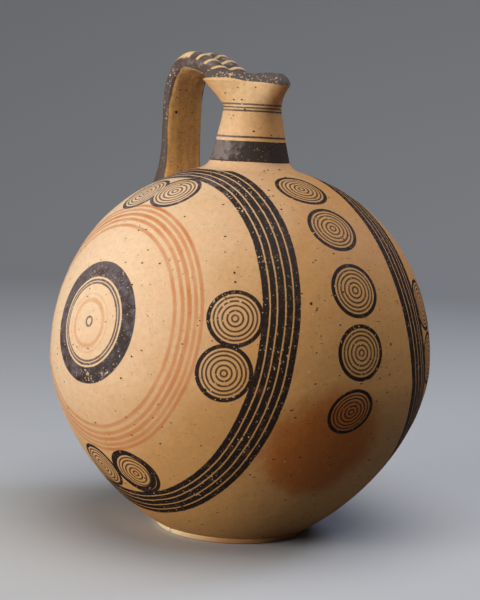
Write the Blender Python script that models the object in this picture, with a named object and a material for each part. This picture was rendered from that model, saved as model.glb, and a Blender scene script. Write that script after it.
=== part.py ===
"""A painted earthenware jug with a globular body, a pinched mouth and a strap handle.

The jug stands on the XY plane with +Z up. Its neck's axis is the Z axis, the spout points along +X
and the handle is on -X. Each piece that the potter makes by itself is one object.
"""

from dataclasses import dataclass
from math import asin, cos, exp, pi, radians, sin, tau

import bmesh
import bpy
from mathutils import Vector
from mathutils.geometry import interpolate_bezier

# Body, outside: two superellipses that meet at the seam, the lower one cut off by the foot
BODY_RADIUS = 0.118
SEAM_HEIGHT = 0.1065
DOME_RISE = 0.1208
DOME_FULLNESS = 2.106
BOWL_FULLNESS = 1.685
BODY_WALL = 0.0058
BASE_THICKNESS = 0.0072

# Joints
JOINT_GAP = 0.0003
SEAM_TONGUE_HEIGHT = 0.005
SEAM_COIL_HEIGHT = 0.011
SEAM_COIL_BULGE = 0.0032
SEAM_COIL_EDGE = 0.0005

# Foot
FOOT_RADIUS = 0.0474
FOOT_WIDTH = 0.0105
FOOT_HEIGHT = 0.0035
FOOT_OVERHANG = 0.0014
FOOT_SPIGOT_DROP = 0.0018
FOOT_EDGE_ROUND = 0.0007

# Neck, outside, and the opening that it is let into
OPENING_RADIUS = 0.0200
NECK_FOOT_RADIUS = 0.0257
NECK_HEIGHT = 0.0361
WAIST_RADIUS = 0.01765
NECK_HOLLOW = 0.0005
NECK_WALL = 0.0048
NECK_SPIGOT_WALL = 0.0042
NECK_SPIGOT_DEPTH = 0.0065
WAIST_TONGUE_HEIGHT = 0.004
COLLAR_REACH = 0.0056
COLLAR_CLIMB = 0.0042
COLLAR_LIP = 0.0004
COLLAR_TENSION = 0.7

# Mouth: the outline of the rim is a throat circle with a spout and two side lobes
FLARE_HEIGHT = 0.0157
FLARE_CURVE = 1.25
LIP_HEIGHT = 0.0062
LIP_SLOPE = 0.0060
LIP_EDGE = 0.0007
LIP_FULLNESS = 1.6
MOUTH_WALL = 0.0046
THROAT_RADIUS = 0.0210
SPOUT_REACH = 0.0080
SPOUT_SPREAD = radians(27)
SPOUT_DROP = 0.0005
SPOUT_UNDERCUT = 0.0014
LOBE_REACH = 0.0100
LOBE_BEARING = radians(125)
LOBE_SPREAD = radians(45)
LOBE_LIFT = 0.0006
PINCH_DROP = 0.0012
PINCH_BEARING = radians(52)
PINCH_SPREAD = radians(16)

# Handle: a strap whose middle line runs from the shoulder up, over the arch and down to the rim
STRAP_WIDTH = 0.0286
STRAP_THICKNESS = 0.0090
STRAP_DISTANCE = 0.0708
STRAP_EDGE_POWER = 4.0
STRAP_CROWNING = 0.0012
ARCH_RISE = 0.0058
ARCH_DEPTH = 0.0274
ARCH_CROWN_INSET = 0.0188
ARCH_THICKENING = 0.0020
ARCH_TENSION = 0.61
FALL_TENSION = 0.50
STRAP_END_OVERLAP = 0.0040
STRAP_END_LIFT = 0.0003
STRAP_END_THINNING = 0.0018
STRAP_NOSE = 0.0010
ROOT_FLARE = 0.0040
ROOT_FLARE_HEIGHT = 0.0140
SADDLE_DEPTH = 0.0042
SADDLE_MARGIN = 0.0018
TENON_WIDTH = 0.0150
TENON_THICKNESS = 0.0046
TENON_PROJECTION = 0.0015

# Facets
BODY_SIDE_COUNT = 60
NECK_SIDE_COUNT = 48
MOUTH_SIDE_COUNT = 60
BOWL_RING_COUNT = 11
INSIDE_RING_COUNT = 8
NECK_RING_COUNT = 5
COLLAR_RING_COUNT = 3
COLLAR_HOLLOW_RING_COUNT = 6
COIL_RING_COUNT = 4
FLARE_RING_COUNT = 5
LIP_RING_COUNT = 4
RISE_STATION_COUNT = 6
ARCH_STATION_COUNT = 9
STRAP_SIDE_COUNT = 20
TRIM_REFINEMENT = 2
SMOOTH_ANGLE = radians(35)

# Clay colours
BUFF_SLIP = (0.694, 0.440, 0.205)
PALE_SLIP = (0.745, 0.500, 0.262)
RAW_CLAY = (0.560, 0.327, 0.150)
CLAY_ROUGHNESS = 0.8


def add_piece(name, mesh_data, colour):
    """Finish a bmesh as one smooth-shaded object with its own matt clay."""
    bmesh.ops.recalc_face_normals(mesh_data, faces=mesh_data.faces)
    mesh = bpy.data.meshes.new(name)
    mesh_data.to_mesh(mesh)
    mesh_data.free()
    mesh.materials.append(clay(f"{name}_clay", colour))
    mesh.shade_smooth()
    mesh.set_sharp_from_angle(angle=SMOOTH_ANGLE)
    piece = bpy.data.objects.new(name, mesh)
    bpy.context.scene.collection.objects.link(piece)
    return piece


def clay(name, colour):
    """Return a matt earthenware material of one colour."""
    material = bpy.data.materials.new(name)
    material.use_nodes = True
    shader = material.node_tree.nodes["Principled BSDF"]
    shader.inputs["Base Color"].default_value = (*colour, 1.0)
    shader.inputs["Roughness"].default_value = CLAY_ROUGHNESS
    shader.inputs["Metallic"].default_value = 0.0
    return material


def skin_loops(loops, closed):
    """Join rings of equal length with faces; a closed skin returns to its first ring, an open
    one is capped with a fan at each end.
    """
    mesh_data = bmesh.new()
    rings = [[mesh_data.verts.new(point) for point in loop] for loop in loops]
    sides = len(rings[0])
    pairs = list(zip(rings, rings[1:]))
    if closed:
        pairs.append((rings[-1], rings[0]))
    for lower, upper in pairs:
        for k in range(sides):
            n = (k + 1) % sides
            mesh_data.faces.new((lower[k], lower[n], upper[n], upper[k]))
    if not closed:
        for ring in (rings[0], rings[-1]):
            centre = sum((vert.co for vert in ring), Vector()) / sides
            hub = mesh_data.verts.new(centre)
            for k in range(sides):
                mesh_data.faces.new((hub, ring[k], ring[(k + 1) % sides]))
    return mesh_data


def turned_loops(profile, sides):
    """Return a ring round the Z axis for each (radius, height) of a profile."""
    turns = [tau * k / sides for k in range(sides)]
    return [[(r * cos(a), r * sin(a), z) for a in turns] for r, z in profile]


def steps(count):
    """Return count + 1 even steps from 0 to 1."""
    return [k / count for k in range(count + 1)]


@dataclass(frozen=True)
class BodyHalf:
    """One half of the body's wall, a superellipse turned about the neck's axis."""

    side: int
    rise: float
    fullness: float

    def height(self, radius, inset=0.0):
        """Height of the outside at a radius, or of the surface inset from it."""
        share = 1 - (radius / (BODY_RADIUS - inset)) ** self.fullness
        return SEAM_HEIGHT + self.side * (self.rise - inset) * max(share, 0.0) ** (1 / self.fullness)

    def radius(self, height, inset=0.0):
        """Radius of the outside at a height, or of the surface inset from it."""
        share = 1 - (abs(height - SEAM_HEIGHT) / (self.rise - inset)) ** self.fullness
        return (BODY_RADIUS - inset) * max(share, 0.0) ** (1 / self.fullness)

    def profile(self, from_height, to_radius, count, inset=0.0):
        """Profile points from a height near the seam to a smaller radius, closer together where
        the wall is steep.
        """
        start = self.radius(from_height, inset)
        points = [(start, from_height)]
        for step in steps(count)[1:]:
            radius = to_radius + (start - to_radius) * cos(step * pi / 2)
            points.append((radius, self.height(radius, inset)))
        return points


def depth_through(radius, drop, fullness):
    """Semi-axis of a superellipse that is this radius wide at a drop below the seam."""
    return drop / (1 - (radius / BODY_RADIUS) ** fullness) ** (1 / fullness)


UNDERSIDE_HEIGHT = FOOT_HEIGHT + JOINT_GAP
BASE_RADIUS = FOOT_RADIUS + FOOT_OVERHANG
BASE_BOTTOM = UNDERSIDE_HEIGHT - FOOT_SPIGOT_DROP
FLOOR_HEIGHT = BASE_BOTTOM + BASE_THICKNESS
TONGUE_INSET = BODY_WALL / 2
TONGUE_TOP = SEAM_HEIGHT + SEAM_TONGUE_HEIGHT
DOME = BodyHalf(1, DOME_RISE, DOME_FULLNESS)
BOWL = BodyHalf(-1, depth_through(BASE_RADIUS, SEAM_HEIGHT - UNDERSIDE_HEIGHT, BOWL_FULLNESS),
                BOWL_FULLNESS)


def lower_bowl():
    """The lower half of the body: base, wall, and a tongue that the upper half fits over."""
    spigot_radius = FOOT_RADIUS - FOOT_WIDTH - JOINT_GAP
    outside = BOWL.profile(SEAM_HEIGHT, BASE_RADIUS, BOWL_RING_COUNT)
    base = [(spigot_radius, UNDERSIDE_HEIGHT), (spigot_radius, BASE_BOTTOM),
            (spigot_radius / 2, BASE_BOTTOM)]
    floor_radius = BOWL.radius(FLOOR_HEIGHT, BODY_WALL)
    inside = BOWL.profile(SEAM_HEIGHT, floor_radius, INSIDE_RING_COUNT, BODY_WALL)
    tongue = [(BODY_RADIUS - BODY_WALL, TONGUE_TOP), (BODY_RADIUS - TONGUE_INSET, TONGUE_TOP),
              (BODY_RADIUS - TONGUE_INSET, SEAM_HEIGHT)]
    profile = [(floor_radius / 2, FLOOR_HEIGHT)] + inside[::-1] + tongue + outside + base
    return skin_loops(turned_loops(profile, BODY_SIDE_COUNT), closed=False)


def upper_bowl():
    """The upper half of the body, open at the top for the neck and rebated over the tongue."""
    seam = SEAM_HEIGHT + JOINT_GAP
    rebate = BODY_RADIUS - TONGUE_INSET + JOINT_GAP
    ledge = TONGUE_TOP + JOINT_GAP
    outside = DOME.profile(seam, OPENING_RADIUS, BOWL_RING_COUNT)
    inside = DOME.profile(ledge, OPENING_RADIUS, INSIDE_RING_COUNT, BODY_WALL)
    profile = [(rebate, ledge), (rebate, seam)] + outside + inside[::-1]
    return skin_loops(turned_loops(profile, BODY_SIDE_COUNT), closed=True)


def seam_coil():
    """The coil pressed over the bowls' joint from inside, half round, flat against the wall."""
    middle = (SEAM_HEIGHT + TONGUE_TOP) / 2
    flat_wall = BODY_RADIUS - BODY_WALL
    against_wall = []
    inward = []
    for step in steps(COIL_RING_COUNT):
        height = middle + SEAM_COIL_HEIGHT * (step - 0.5)
        half = DOME if height > SEAM_HEIGHT else BOWL
        radius = min(half.radius(height, BODY_WALL), flat_wall) - JOINT_GAP
        bulge = SEAM_COIL_EDGE + (SEAM_COIL_BULGE - SEAM_COIL_EDGE) * sin(pi * step)
        against_wall.append((radius, height))
        inward.append((radius - bulge, height))
    return skin_loops(turned_loops(against_wall + inward[::-1], BODY_SIDE_COUNT), closed=True)


def foot_ring():
    """The ring under the base, with its outer edges eased, round the base's spigot."""
    inner = FOOT_RADIUS - FOOT_WIDTH
    ease = FOOT_EDGE_ROUND
    profile = [(FOOT_RADIUS - ease, FOOT_HEIGHT), (inner, FOOT_HEIGHT), (inner, ease / 2),
               (inner + ease, 0.0), (FOOT_RADIUS - ease, 0.0), (FOOT_RADIUS - ease / 3, ease / 3),
               (FOOT_RADIUS, ease), (FOOT_RADIUS, FOOT_HEIGHT - ease)]
    return skin_loops(turned_loops(profile, BODY_SIDE_COUNT), closed=True)


NECK_FOOT_HEIGHT = DOME.height(NECK_FOOT_RADIUS) + JOINT_GAP
WAIST_HEIGHT = NECK_FOOT_HEIGHT + NECK_HEIGHT
NECK_TONGUE_WALL = NECK_WALL / 2
WAIST_CHANNEL = WAIST_RADIUS - NECK_WALL


def neck_radius(height):
    """Outer radius of the neck: a cone drawn in slightly between foot and waist."""
    climb = min(max((height - NECK_FOOT_HEIGHT) / NECK_HEIGHT, 0.0), 1.0)
    straight = NECK_FOOT_RADIUS + (WAIST_RADIUS - NECK_FOOT_RADIUS) * climb
    return straight - NECK_HOLLOW * sin(pi * climb)


def neck():
    """The neck, with a spigot in the body's opening and a tongue inside the mouth."""
    spigot_outer = OPENING_RADIUS - JOINT_GAP
    spigot_inner = spigot_outer - NECK_SPIGOT_WALL
    spigot_bottom = DOME.height(OPENING_RADIUS) - NECK_SPIGOT_DEPTH
    heights = [NECK_FOOT_HEIGHT + NECK_HEIGHT * step for step in steps(NECK_RING_COUNT)]
    outside = [(neck_radius(height), height) for height in heights]
    seat = [(radius, DOME.height(radius) + JOINT_GAP)
            for radius in (spigot_outer, (spigot_outer + NECK_FOOT_RADIUS) / 2)]
    tongue_radius = WAIST_CHANNEL + NECK_TONGUE_WALL
    tongue_top = WAIST_HEIGHT + WAIST_TONGUE_HEIGHT
    tongue = [(tongue_radius, WAIST_HEIGHT), (tongue_radius, tongue_top), (WAIST_CHANNEL, tongue_top)]
    inside = [(spigot_inner + (WAIST_CHANNEL - spigot_inner) * step, height)
              for step, height in zip(steps(NECK_RING_COUNT), heights)]
    spigot = [(spigot_inner, spigot_bottom), (spigot_outer, spigot_bottom)]
    profile = spigot + seat + outside + tongue + inside[::-1]
    return skin_loops(turned_loops(profile, NECK_SIDE_COUNT), closed=True)


def neck_collar():
    """The fillet of clay in the corner between neck and shoulder, hollow outside."""
    top = NECK_FOOT_HEIGHT + COLLAR_CLIMB
    inner = NECK_FOOT_RADIUS + JOINT_GAP
    bottom = [(radius, DOME.height(radius) + JOINT_GAP)
              for radius in [inner + COLLAR_REACH * step for step in steps(COLLAR_RING_COUNT)]]
    start = Vector((bottom[-1][0], bottom[-1][1] + COLLAR_LIP))
    end = Vector((neck_radius(top) + JOINT_GAP + COLLAR_LIP, top))
    corner = Vector((inner + COLLAR_LIP, NECK_FOOT_HEIGHT + COLLAR_LIP))
    hollow = interpolate_bezier(start, start.lerp(corner, COLLAR_TENSION),
                                end.lerp(corner, COLLAR_TENSION), end, COLLAR_HOLLOW_RING_COUNT)
    wall = [(neck_radius(top - COLLAR_CLIMB * step) + JOINT_GAP, top - COLLAR_CLIMB * step)
            for step in steps(COLLAR_RING_COUNT)[:-1]]
    profile = bottom + [tuple(point[:2]) for point in hollow] + wall
    return skin_loops(turned_loops(profile, NECK_SIDE_COUNT), closed=True)


def lobe(angle, bearing, spread):
    """A smooth bump of height 1 round the mouth, centred on a bearing."""
    away = (angle - bearing + pi) % tau - pi
    return exp(-(away / spread) ** 2)


def both_sides(angle, bearing, spread):
    """The bump on each side of the mouth, at the same bearing from the spout."""
    return lobe(angle, bearing, spread) + lobe(angle, -bearing, spread)


def rim_reach(angle):
    """Radius of the rim's outline at an angle from the spout."""
    return (THROAT_RADIUS + SPOUT_REACH * lobe(angle, 0.0, SPOUT_SPREAD)
            + LOBE_REACH * both_sides(angle, LOBE_BEARING, LOBE_SPREAD))


FLARE_FOOT_HEIGHT = WAIST_HEIGHT + JOINT_GAP
RIM_HEIGHT = FLARE_FOOT_HEIGHT + FLARE_HEIGHT + LIP_HEIGHT
SADDLE_HEIGHT = RIM_HEIGHT - SADDLE_DEPTH
SADDLE_SPREAD = asin(min((STRAP_WIDTH / 2 + SADDLE_MARGIN) / rim_reach(pi), 1.0))


def rim_height(angle):
    """Height of the rim: raised at the lobes, low at the pinches, saddled under the handle."""
    lift = (LOBE_LIFT * both_sides(angle, LOBE_BEARING, LOBE_SPREAD)
            - PINCH_DROP * both_sides(angle, PINCH_BEARING, PINCH_SPREAD)
            - SPOUT_DROP * lobe(angle, 0.0, SPOUT_SPREAD))
    from_back = (angle % tau - pi) / SADDLE_SPREAD
    saddle = exp(-from_back ** 4)
    return RIM_HEIGHT + lift * (1 - saddle) - SADDLE_DEPTH * saddle


def flare_top(angle):
    """Height where the flare meets the lip, a little lower under the spout."""
    return FLARE_FOOT_HEIGHT + FLARE_HEIGHT - SPOUT_UNDERCUT * lobe(angle, 0.0, SPOUT_SPREAD)


def mouth_ring(flare, height_at, inset):
    """A ring round the mouth: the waist's circle opened towards the rim's outline by flare, set
    in square to that outline.
    """
    outline = []
    for k in range(MOUTH_SIDE_COUNT):
        angle = tau * k / MOUTH_SIDE_COUNT
        radius = WAIST_RADIUS + (rim_reach(angle) - WAIST_RADIUS) * flare
        outline.append(Vector((radius * cos(angle), radius * sin(angle))))
    ring = []
    for k, point in enumerate(outline):
        ahead = outline[(k + 1) % MOUTH_SIDE_COUNT] - outline[k - 1]
        inward = Vector((-ahead.y, ahead.x)).normalized()
        place = point + inward * inset
        ring.append((place.x, place.y, height_at(tau * k / MOUTH_SIDE_COUNT)))
    return ring


def flare_ring(share, inset):
    """A ring part of the way up the flare, set in from it by a wall."""

    def height_at(angle):
        return FLARE_FOOT_HEIGHT + (flare_top(angle) - FLARE_FOOT_HEIGHT) * share

    return mouth_ring(share ** FLARE_CURVE, height_at, inset)


def lip_ring(climb, inset):
    """A ring part of the way from the flare's top to the rim."""

    def height_at(angle):
        return flare_top(angle) + (rim_height(angle) - flare_top(angle)) * climb

    return mouth_ring(1.0, height_at, inset)


def mouth_outside(clearance=0.0):
    """The mouth's outer rings from the waist to the rim's crest, let out by a clearance. The lip
    leans in as it climbs.
    """
    rings = [flare_ring(share, -clearance) for share in steps(FLARE_RING_COUNT)]
    for step in steps(LIP_RING_COUNT)[1:]:
        turn = step * pi / 2
        lean = 1 - abs(cos(turn)) ** (2 / LIP_FULLNESS)
        climb = sin(turn) ** (2 / LIP_FULLNESS)
        ring = lip_ring(climb, LIP_SLOPE * lean - clearance)
        rings.append([(x, y, z + clearance * lean) for x, y, z in ring])
    return rings


def mouth():
    """The mouth: flaring wall, pinched lip, and a rebate over the neck's tongue."""
    lip_inside = [lip_ring(1.0, LIP_SLOPE + LIP_EDGE), lip_ring(0.5, LIP_SLOPE)]
    rebate_top = WAIST_HEIGHT + WAIST_TONGUE_HEIGHT + JOINT_GAP
    rebate_radius = WAIST_CHANNEL + NECK_TONGUE_WALL + JOINT_GAP
    inside = [flare_ring(share, MOUTH_WALL) for share in steps(FLARE_RING_COUNT)[::-1]]
    inside = [ring for ring in inside if ring[0][2] > rebate_top + JOINT_GAP]
    socket = turned_loops([(WAIST_CHANNEL, rebate_top), (rebate_radius, rebate_top),
                           (rebate_radius, FLARE_FOOT_HEIGHT)], MOUTH_SIDE_COUNT)
    return skin_loops(mouth_outside() + lip_inside + inside + socket, closed=True)


SPRING = Vector((STRAP_DISTANCE, RIM_HEIGHT + ARCH_RISE - ARCH_DEPTH))
CROWN = Vector((STRAP_DISTANCE - ARCH_CROWN_INSET, RIM_HEIGHT + ARCH_RISE))
STRAP_END = Vector((rim_reach(pi) - STRAP_END_OVERLAP, SADDLE_HEIGHT + STRAP_END_LIFT))


def strap_path():
    """Points of the strap's middle line as (distance from the neck's axis, height), from inside
    the shoulder to the rim.
    """
    foot = Vector((STRAP_DISTANCE, DOME.height(STRAP_DISTANCE) - STRAP_THICKNESS))
    shoulder = Vector((STRAP_DISTANCE, CROWN.y))
    fall = Vector(((CROWN.x + STRAP_END.x) / 2, CROWN.y))
    rise = [foot.lerp(SPRING, step) for step in steps(RISE_STATION_COUNT)[:-1]]
    over = interpolate_bezier(SPRING, SPRING.lerp(shoulder, ARCH_TENSION),
                              CROWN.lerp(shoulder, ARCH_TENSION), CROWN, ARCH_STATION_COUNT)
    down = interpolate_bezier(CROWN, CROWN.lerp(fall, FALL_TENSION),
                              STRAP_END.lerp(fall, FALL_TENSION), STRAP_END, ARCH_STATION_COUNT)
    return rise + [Vector(point[:2]) for point in over[:-1]] + [Vector(point[:2]) for point in down]


def strap_section(width, thickness, crowning):
    """Points round the strap's section as (across, outwards), with soft edges and a crowned
    outer face.
    """
    section = []
    for k in range(STRAP_SIDE_COUNT):
        turn = tau * k / STRAP_SIDE_COUNT
        across = abs(cos(turn)) ** (2 / STRAP_EDGE_POWER) * (1 if cos(turn) > 0 else -1)
        outwards = abs(sin(turn)) ** (2 / STRAP_EDGE_POWER) * (1 if sin(turn) > 0 else -1)
        lift = crowning * (1 - across ** 2) if outwards > 0 else 0.0
        section.append((across * width / 2, outwards * thickness / 2 + lift))
    return section


def strap_ring(point, along, width, thickness, crowning):
    """The strap's section set square across its path at one point."""
    outward = Vector((along.y, -along.x))
    return [(-(point.x + outward.x * out), across, point.y + outward.y * out)
            for across, out in strap_section(width, thickness, crowning)]


def strap_rings():
    """Rings of the strap along its path, flared at the root, thickened over the arch and with
    its end eased.
    """
    path = strap_path()
    rings = []
    for k, point in enumerate(path):
        along = (path[min(k + 1, len(path) - 1)] - path[max(k - 1, 0)]).normalized()
        above_root = max(point.y - DOME.height(STRAP_DISTANCE), 0.0) / ROOT_FLARE_HEIGHT
        flare = 2 * ROOT_FLARE * exp(-above_root ** 2)
        arch = exp(-((point - CROWN).length / STRAP_WIDTH) ** 2)
        past_crown = max(CROWN.x - point.x, 0.0) / (CROWN.x - STRAP_END.x)
        width = STRAP_WIDTH + flare
        thickness = STRAP_THICKNESS + flare + ARCH_THICKENING * arch - STRAP_END_THINNING * past_crown ** 2
        rings.append(strap_ring(point, along, width, thickness, STRAP_CROWNING * arch))
    nose = path[-1] + along * STRAP_NOSE
    rings.append(strap_ring(nose, along, width - 2 * STRAP_NOSE, thickness - 2 * STRAP_NOSE, 0.0))
    return rings


def tenon_rings(clearance):
    """Rings of the tenon under the strap, or of its mortise when let out by a clearance."""
    top = DOME.height(STRAP_DISTANCE) + STRAP_THICKNESS
    low_side = DOME.height(STRAP_DISTANCE + TENON_THICKNESS / 2, BODY_WALL)
    bottom = low_side - TENON_PROJECTION - clearance
    section = strap_section(TENON_WIDTH + 2 * clearance, TENON_THICKNESS + 2 * clearance, 0.0)
    return [[(-(STRAP_DISTANCE + out), across, height) for across, out in section]
            for height in (bottom, top)]


def shoulder_envelope():
    """The body's outside let out by the joint gap, as a solid that trims the handle's root."""
    profile = DOME.profile(SEAM_HEIGHT, OPENING_RADIUS, BOWL_RING_COUNT * TRIM_REFINEMENT, -JOINT_GAP)
    return skin_loops(turned_loops(profile, BODY_SIDE_COUNT * TRIM_REFINEMENT), closed=False)


def tool_shape(name, mesh_data):
    """Add a closed shape that only cuts or joins another and isn't a piece of the jug."""
    tool = add_piece(name, mesh_data, RAW_CLAY)
    tool.hide_render = True
    tool.display_type = "WIRE"
    return tool


def boolean(piece, tool, operation):
    """Cut or join a piece with a tool."""
    modifier = piece.modifiers.new(operation.title(), "BOOLEAN")
    modifier.object = tool
    modifier.operation = operation
    modifier.solver = "EXACT"


def build():
    """Make every piece of the jug."""
    for leftover in list(bpy.data.objects):
        bpy.data.objects.remove(leftover, do_unlink=True)

    add_piece("foot_ring", foot_ring(), RAW_CLAY)
    add_piece("lower_bowl", lower_bowl(), BUFF_SLIP)
    dome = add_piece("upper_bowl", upper_bowl(), PALE_SLIP)
    add_piece("seam_coil", seam_coil(), RAW_CLAY)
    add_piece("neck", neck(), PALE_SLIP)
    add_piece("neck_collar", neck_collar(), BUFF_SLIP)
    add_piece("mouth", mouth(), PALE_SLIP)
    strap = add_piece("strap_handle", skin_loops(strap_rings(), closed=False), BUFF_SLIP)

    mortise = tool_shape("mortise", skin_loops(tenon_rings(JOINT_GAP), closed=False))
    tenon = tool_shape("tenon", skin_loops(tenon_rings(0.0), closed=False))
    shoulder_trim = tool_shape("shoulder_trim", shoulder_envelope())
    mouth_trim = tool_shape("mouth_trim", skin_loops(mouth_outside(JOINT_GAP), closed=False))
    boolean(dome, mortise, "DIFFERENCE")
    boolean(strap, shoulder_trim, "DIFFERENCE")
    boolean(strap, mouth_trim, "DIFFERENCE")
    boolean(strap, tenon, "UNION")


build()
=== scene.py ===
"""Looks of a painted earthenware jug: its thrown walls, its slips and paint, and the studio."""

import logging
from dataclasses import dataclass, replace
from enum import Enum
from math import acos, asin, cos, exp, pi, radians, sin, tau
from typing import Callable, Protocol, Sequence

import bmesh
import bpy
from mathutils import Matrix, Vector
from mathutils.geometry import interpolate_bezier


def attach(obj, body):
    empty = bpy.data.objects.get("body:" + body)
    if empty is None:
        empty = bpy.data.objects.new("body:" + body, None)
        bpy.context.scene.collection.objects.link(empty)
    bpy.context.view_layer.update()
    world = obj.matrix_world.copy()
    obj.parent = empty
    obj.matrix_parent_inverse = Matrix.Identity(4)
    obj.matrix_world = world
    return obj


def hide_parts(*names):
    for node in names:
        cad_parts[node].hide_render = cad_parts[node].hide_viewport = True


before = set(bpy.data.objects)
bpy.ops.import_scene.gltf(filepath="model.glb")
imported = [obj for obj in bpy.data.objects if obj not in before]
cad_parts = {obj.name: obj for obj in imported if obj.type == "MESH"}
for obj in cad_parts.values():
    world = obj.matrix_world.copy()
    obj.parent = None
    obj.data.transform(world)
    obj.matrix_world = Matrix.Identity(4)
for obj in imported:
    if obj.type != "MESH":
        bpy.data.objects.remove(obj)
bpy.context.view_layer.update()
LOG = logging.getLogger("jug")

MM = 0.001
MATH = "ShaderNodeMath"
VECTOR = "ShaderNodeVectorMath"
NOISE = "ShaderNodeTexNoise"
RANGE = "ShaderNodeMapRange"
MIX = "ShaderNodeMix"
# What makes a mix node mix colours
IN_COLOUR = {"out": 2, "data_type": "RGBA"}
Profile = list[tuple[float, float]]
Socket = bpy.types.NodeSocket


class Half(Enum):
    """The two bowls that the body is thrown in, by the way they open from the seam."""

    UPPER = 1
    LOWER = -1


class Ends(Enum):
    """How a skinned stack of rings ends."""

    JOINED = "last ring joined to the first"
    CAPPED = "a face on each end ring"
    OPEN = "left open"


class Pigment(Enum):
    """The two mineral paints on the slip."""

    BLACK = "manganese black"
    RED = "iron red"


Covers = dict[Pigment, Socket]


def linear(hex_colour: str) -> tuple[float, float, float, float]:
    """Turns an sRGB hex colour into the linear colour that a shader takes.

    Args:
        hex_colour: Six hex digits after a hash sign.

    Returns:
        Red, green, blue and alpha.
    """
    parts = [int(hex_colour[k:k + 2], 16) / 255 for k in (1, 3, 5)]
    red, green, blue = (p / 12.92 if p <= 0.04045 else ((p + 0.055) / 1.055) ** 2.4 for p in parts)
    return red, green, blue, 1.0


def put(tree: bpy.types.NodeTree, kind: str, values: Sequence | dict = (), out: int | str = 0,
        **settings: object) -> Socket | None:
    """Adds a node, with its settings, its values and the links into it.

    Args:
        tree: The node tree that takes the node.
        kind: The node's type name.
        values: What goes into its inputs, in order or by name: a value, a socket, or None to skip.
        out: Which output to return.
        settings: The node's own properties.

    Returns:
        The chosen output, or None where the node has none.
    """
    node = tree.nodes.new(kind)
    for name, value in settings.items():
        setattr(node, name, value)
    for key, value in values.items() if isinstance(values, dict) else enumerate(values):
        if isinstance(value, Socket):
            tree.links.new(value, node.inputs[key])
        elif value is not None:
            node.inputs[key].default_value = value
    return node.outputs[out] if node.outputs else None


def direction(azimuth: float, elevation: float) -> Vector:
    """Unit vector at an azimuth from -Y towards +X and an elevation, both in degrees."""
    a, e = radians(azimuth), radians(elevation)
    return Vector((sin(a) * cos(e), -cos(a) * cos(e), sin(e)))


def steps(count: int) -> list[float]:
    """Evenly spaced shares from 0 to 1, count of them after the first."""
    return [k / count for k in range(count + 1)]


# The body's outside: a superellipse above the seam, and below it one that tapers to the foot


@dataclass(frozen=True)
class BodyShape:
    """Sizes of the body in millimetres, shared by the bowls and by what is set on them."""

    radius: float = 117.95
    seam: float = 106.5
    rise: float = 120.8
    dome_fullness: float = 2.106
    bowl_fullness: float = 1.685
    wall: float = 5.8
    underside: float = 3.8
    floor: float = 9.2
    base_radius: float = 48.8
    opening: float = 20.0

    @property
    def depth(self) -> float:
        """Semi-axis of the lower superellipse, which is cut off flat at the underside."""
        share = 1 - (self.base_radius / self.radius) ** self.bowl_fullness
        return (self.seam - self.underside) / share ** (1 / self.bowl_fullness)

    def top(self, radius: float) -> float:
        """Height of the shoulder at a distance from the axis."""
        share = 1 - (radius / self.radius) ** self.dome_fullness
        return self.seam + self.rise * share ** (1 / self.dome_fullness)

    def top_slope(self, radius: float) -> float:
        """Fall of the shoulder per millimetre outwards."""
        return (self.top(radius + 0.1) - self.top(radius - 0.1)) / 0.2

    def point(self, towards: Vector) -> Vector:
        """The place on the outside in a direction from the middle of the seam's circle.

        Args:
            towards: A unit vector.

        Returns:
            The place in millimetres.
        """
        power, rise = ((self.dome_fullness, self.rise) if towards.z > 0
                       else (self.bowl_fullness, self.depth))
        flat = Vector((towards.x, towards.y)).length
        reach = ((flat / self.radius) ** power + (abs(towards.z) / rise) ** power) ** (-1 / power)
        return Vector((0, 0, self.seam)) + towards * reach


BODY = BodyShape()


# Brushed rings


@dataclass(frozen=True)
class Stripe:
    """One painted line, from edge to edge across it, and how much of the ground it hides."""

    start: float
    end: float
    cover: float = 1.0


def stripe_cover(tree: bpy.types.NodeTree, across: Socket, stripes: Sequence[Stripe],
                 soft: float) -> Socket:
    """Paint cover of a set of parallel lines, at most seven of them.

    Args:
        tree: The material's tree.
        across: The coordinate that the stripes are measured along.
        stripes: The lines, in order.
        soft: Half the width of a line's feathered edge.

    Returns:
        The cover, from 0 on bare slip to 1.
    """
    low, high = stripes[0].start - 2 * soft, stripes[-1].end + 2 * soft
    share = put(tree, RANGE, (across, low, high, 0.0, 1.0))
    cover = put(tree, "ShaderNodeValToRGB", (share,))
    ramp = cover.node.color_ramp
    stops = [(0.0, 0.0)]
    for stripe in stripes:
        stops += [(stripe.start - soft, 0.0), (stripe.start + soft, stripe.cover),
                  (stripe.end - soft, stripe.cover), (stripe.end + soft, 0.0)]
    while len(ramp.elements) < len(stops):
        ramp.elements.new(1.0)
    for element, (place, value) in zip(ramp.elements, stops):
        element.position = (place - low) / (high - low) if place else 0.0
        element.color = (value, value, value, 1.0)
    return cover


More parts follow.
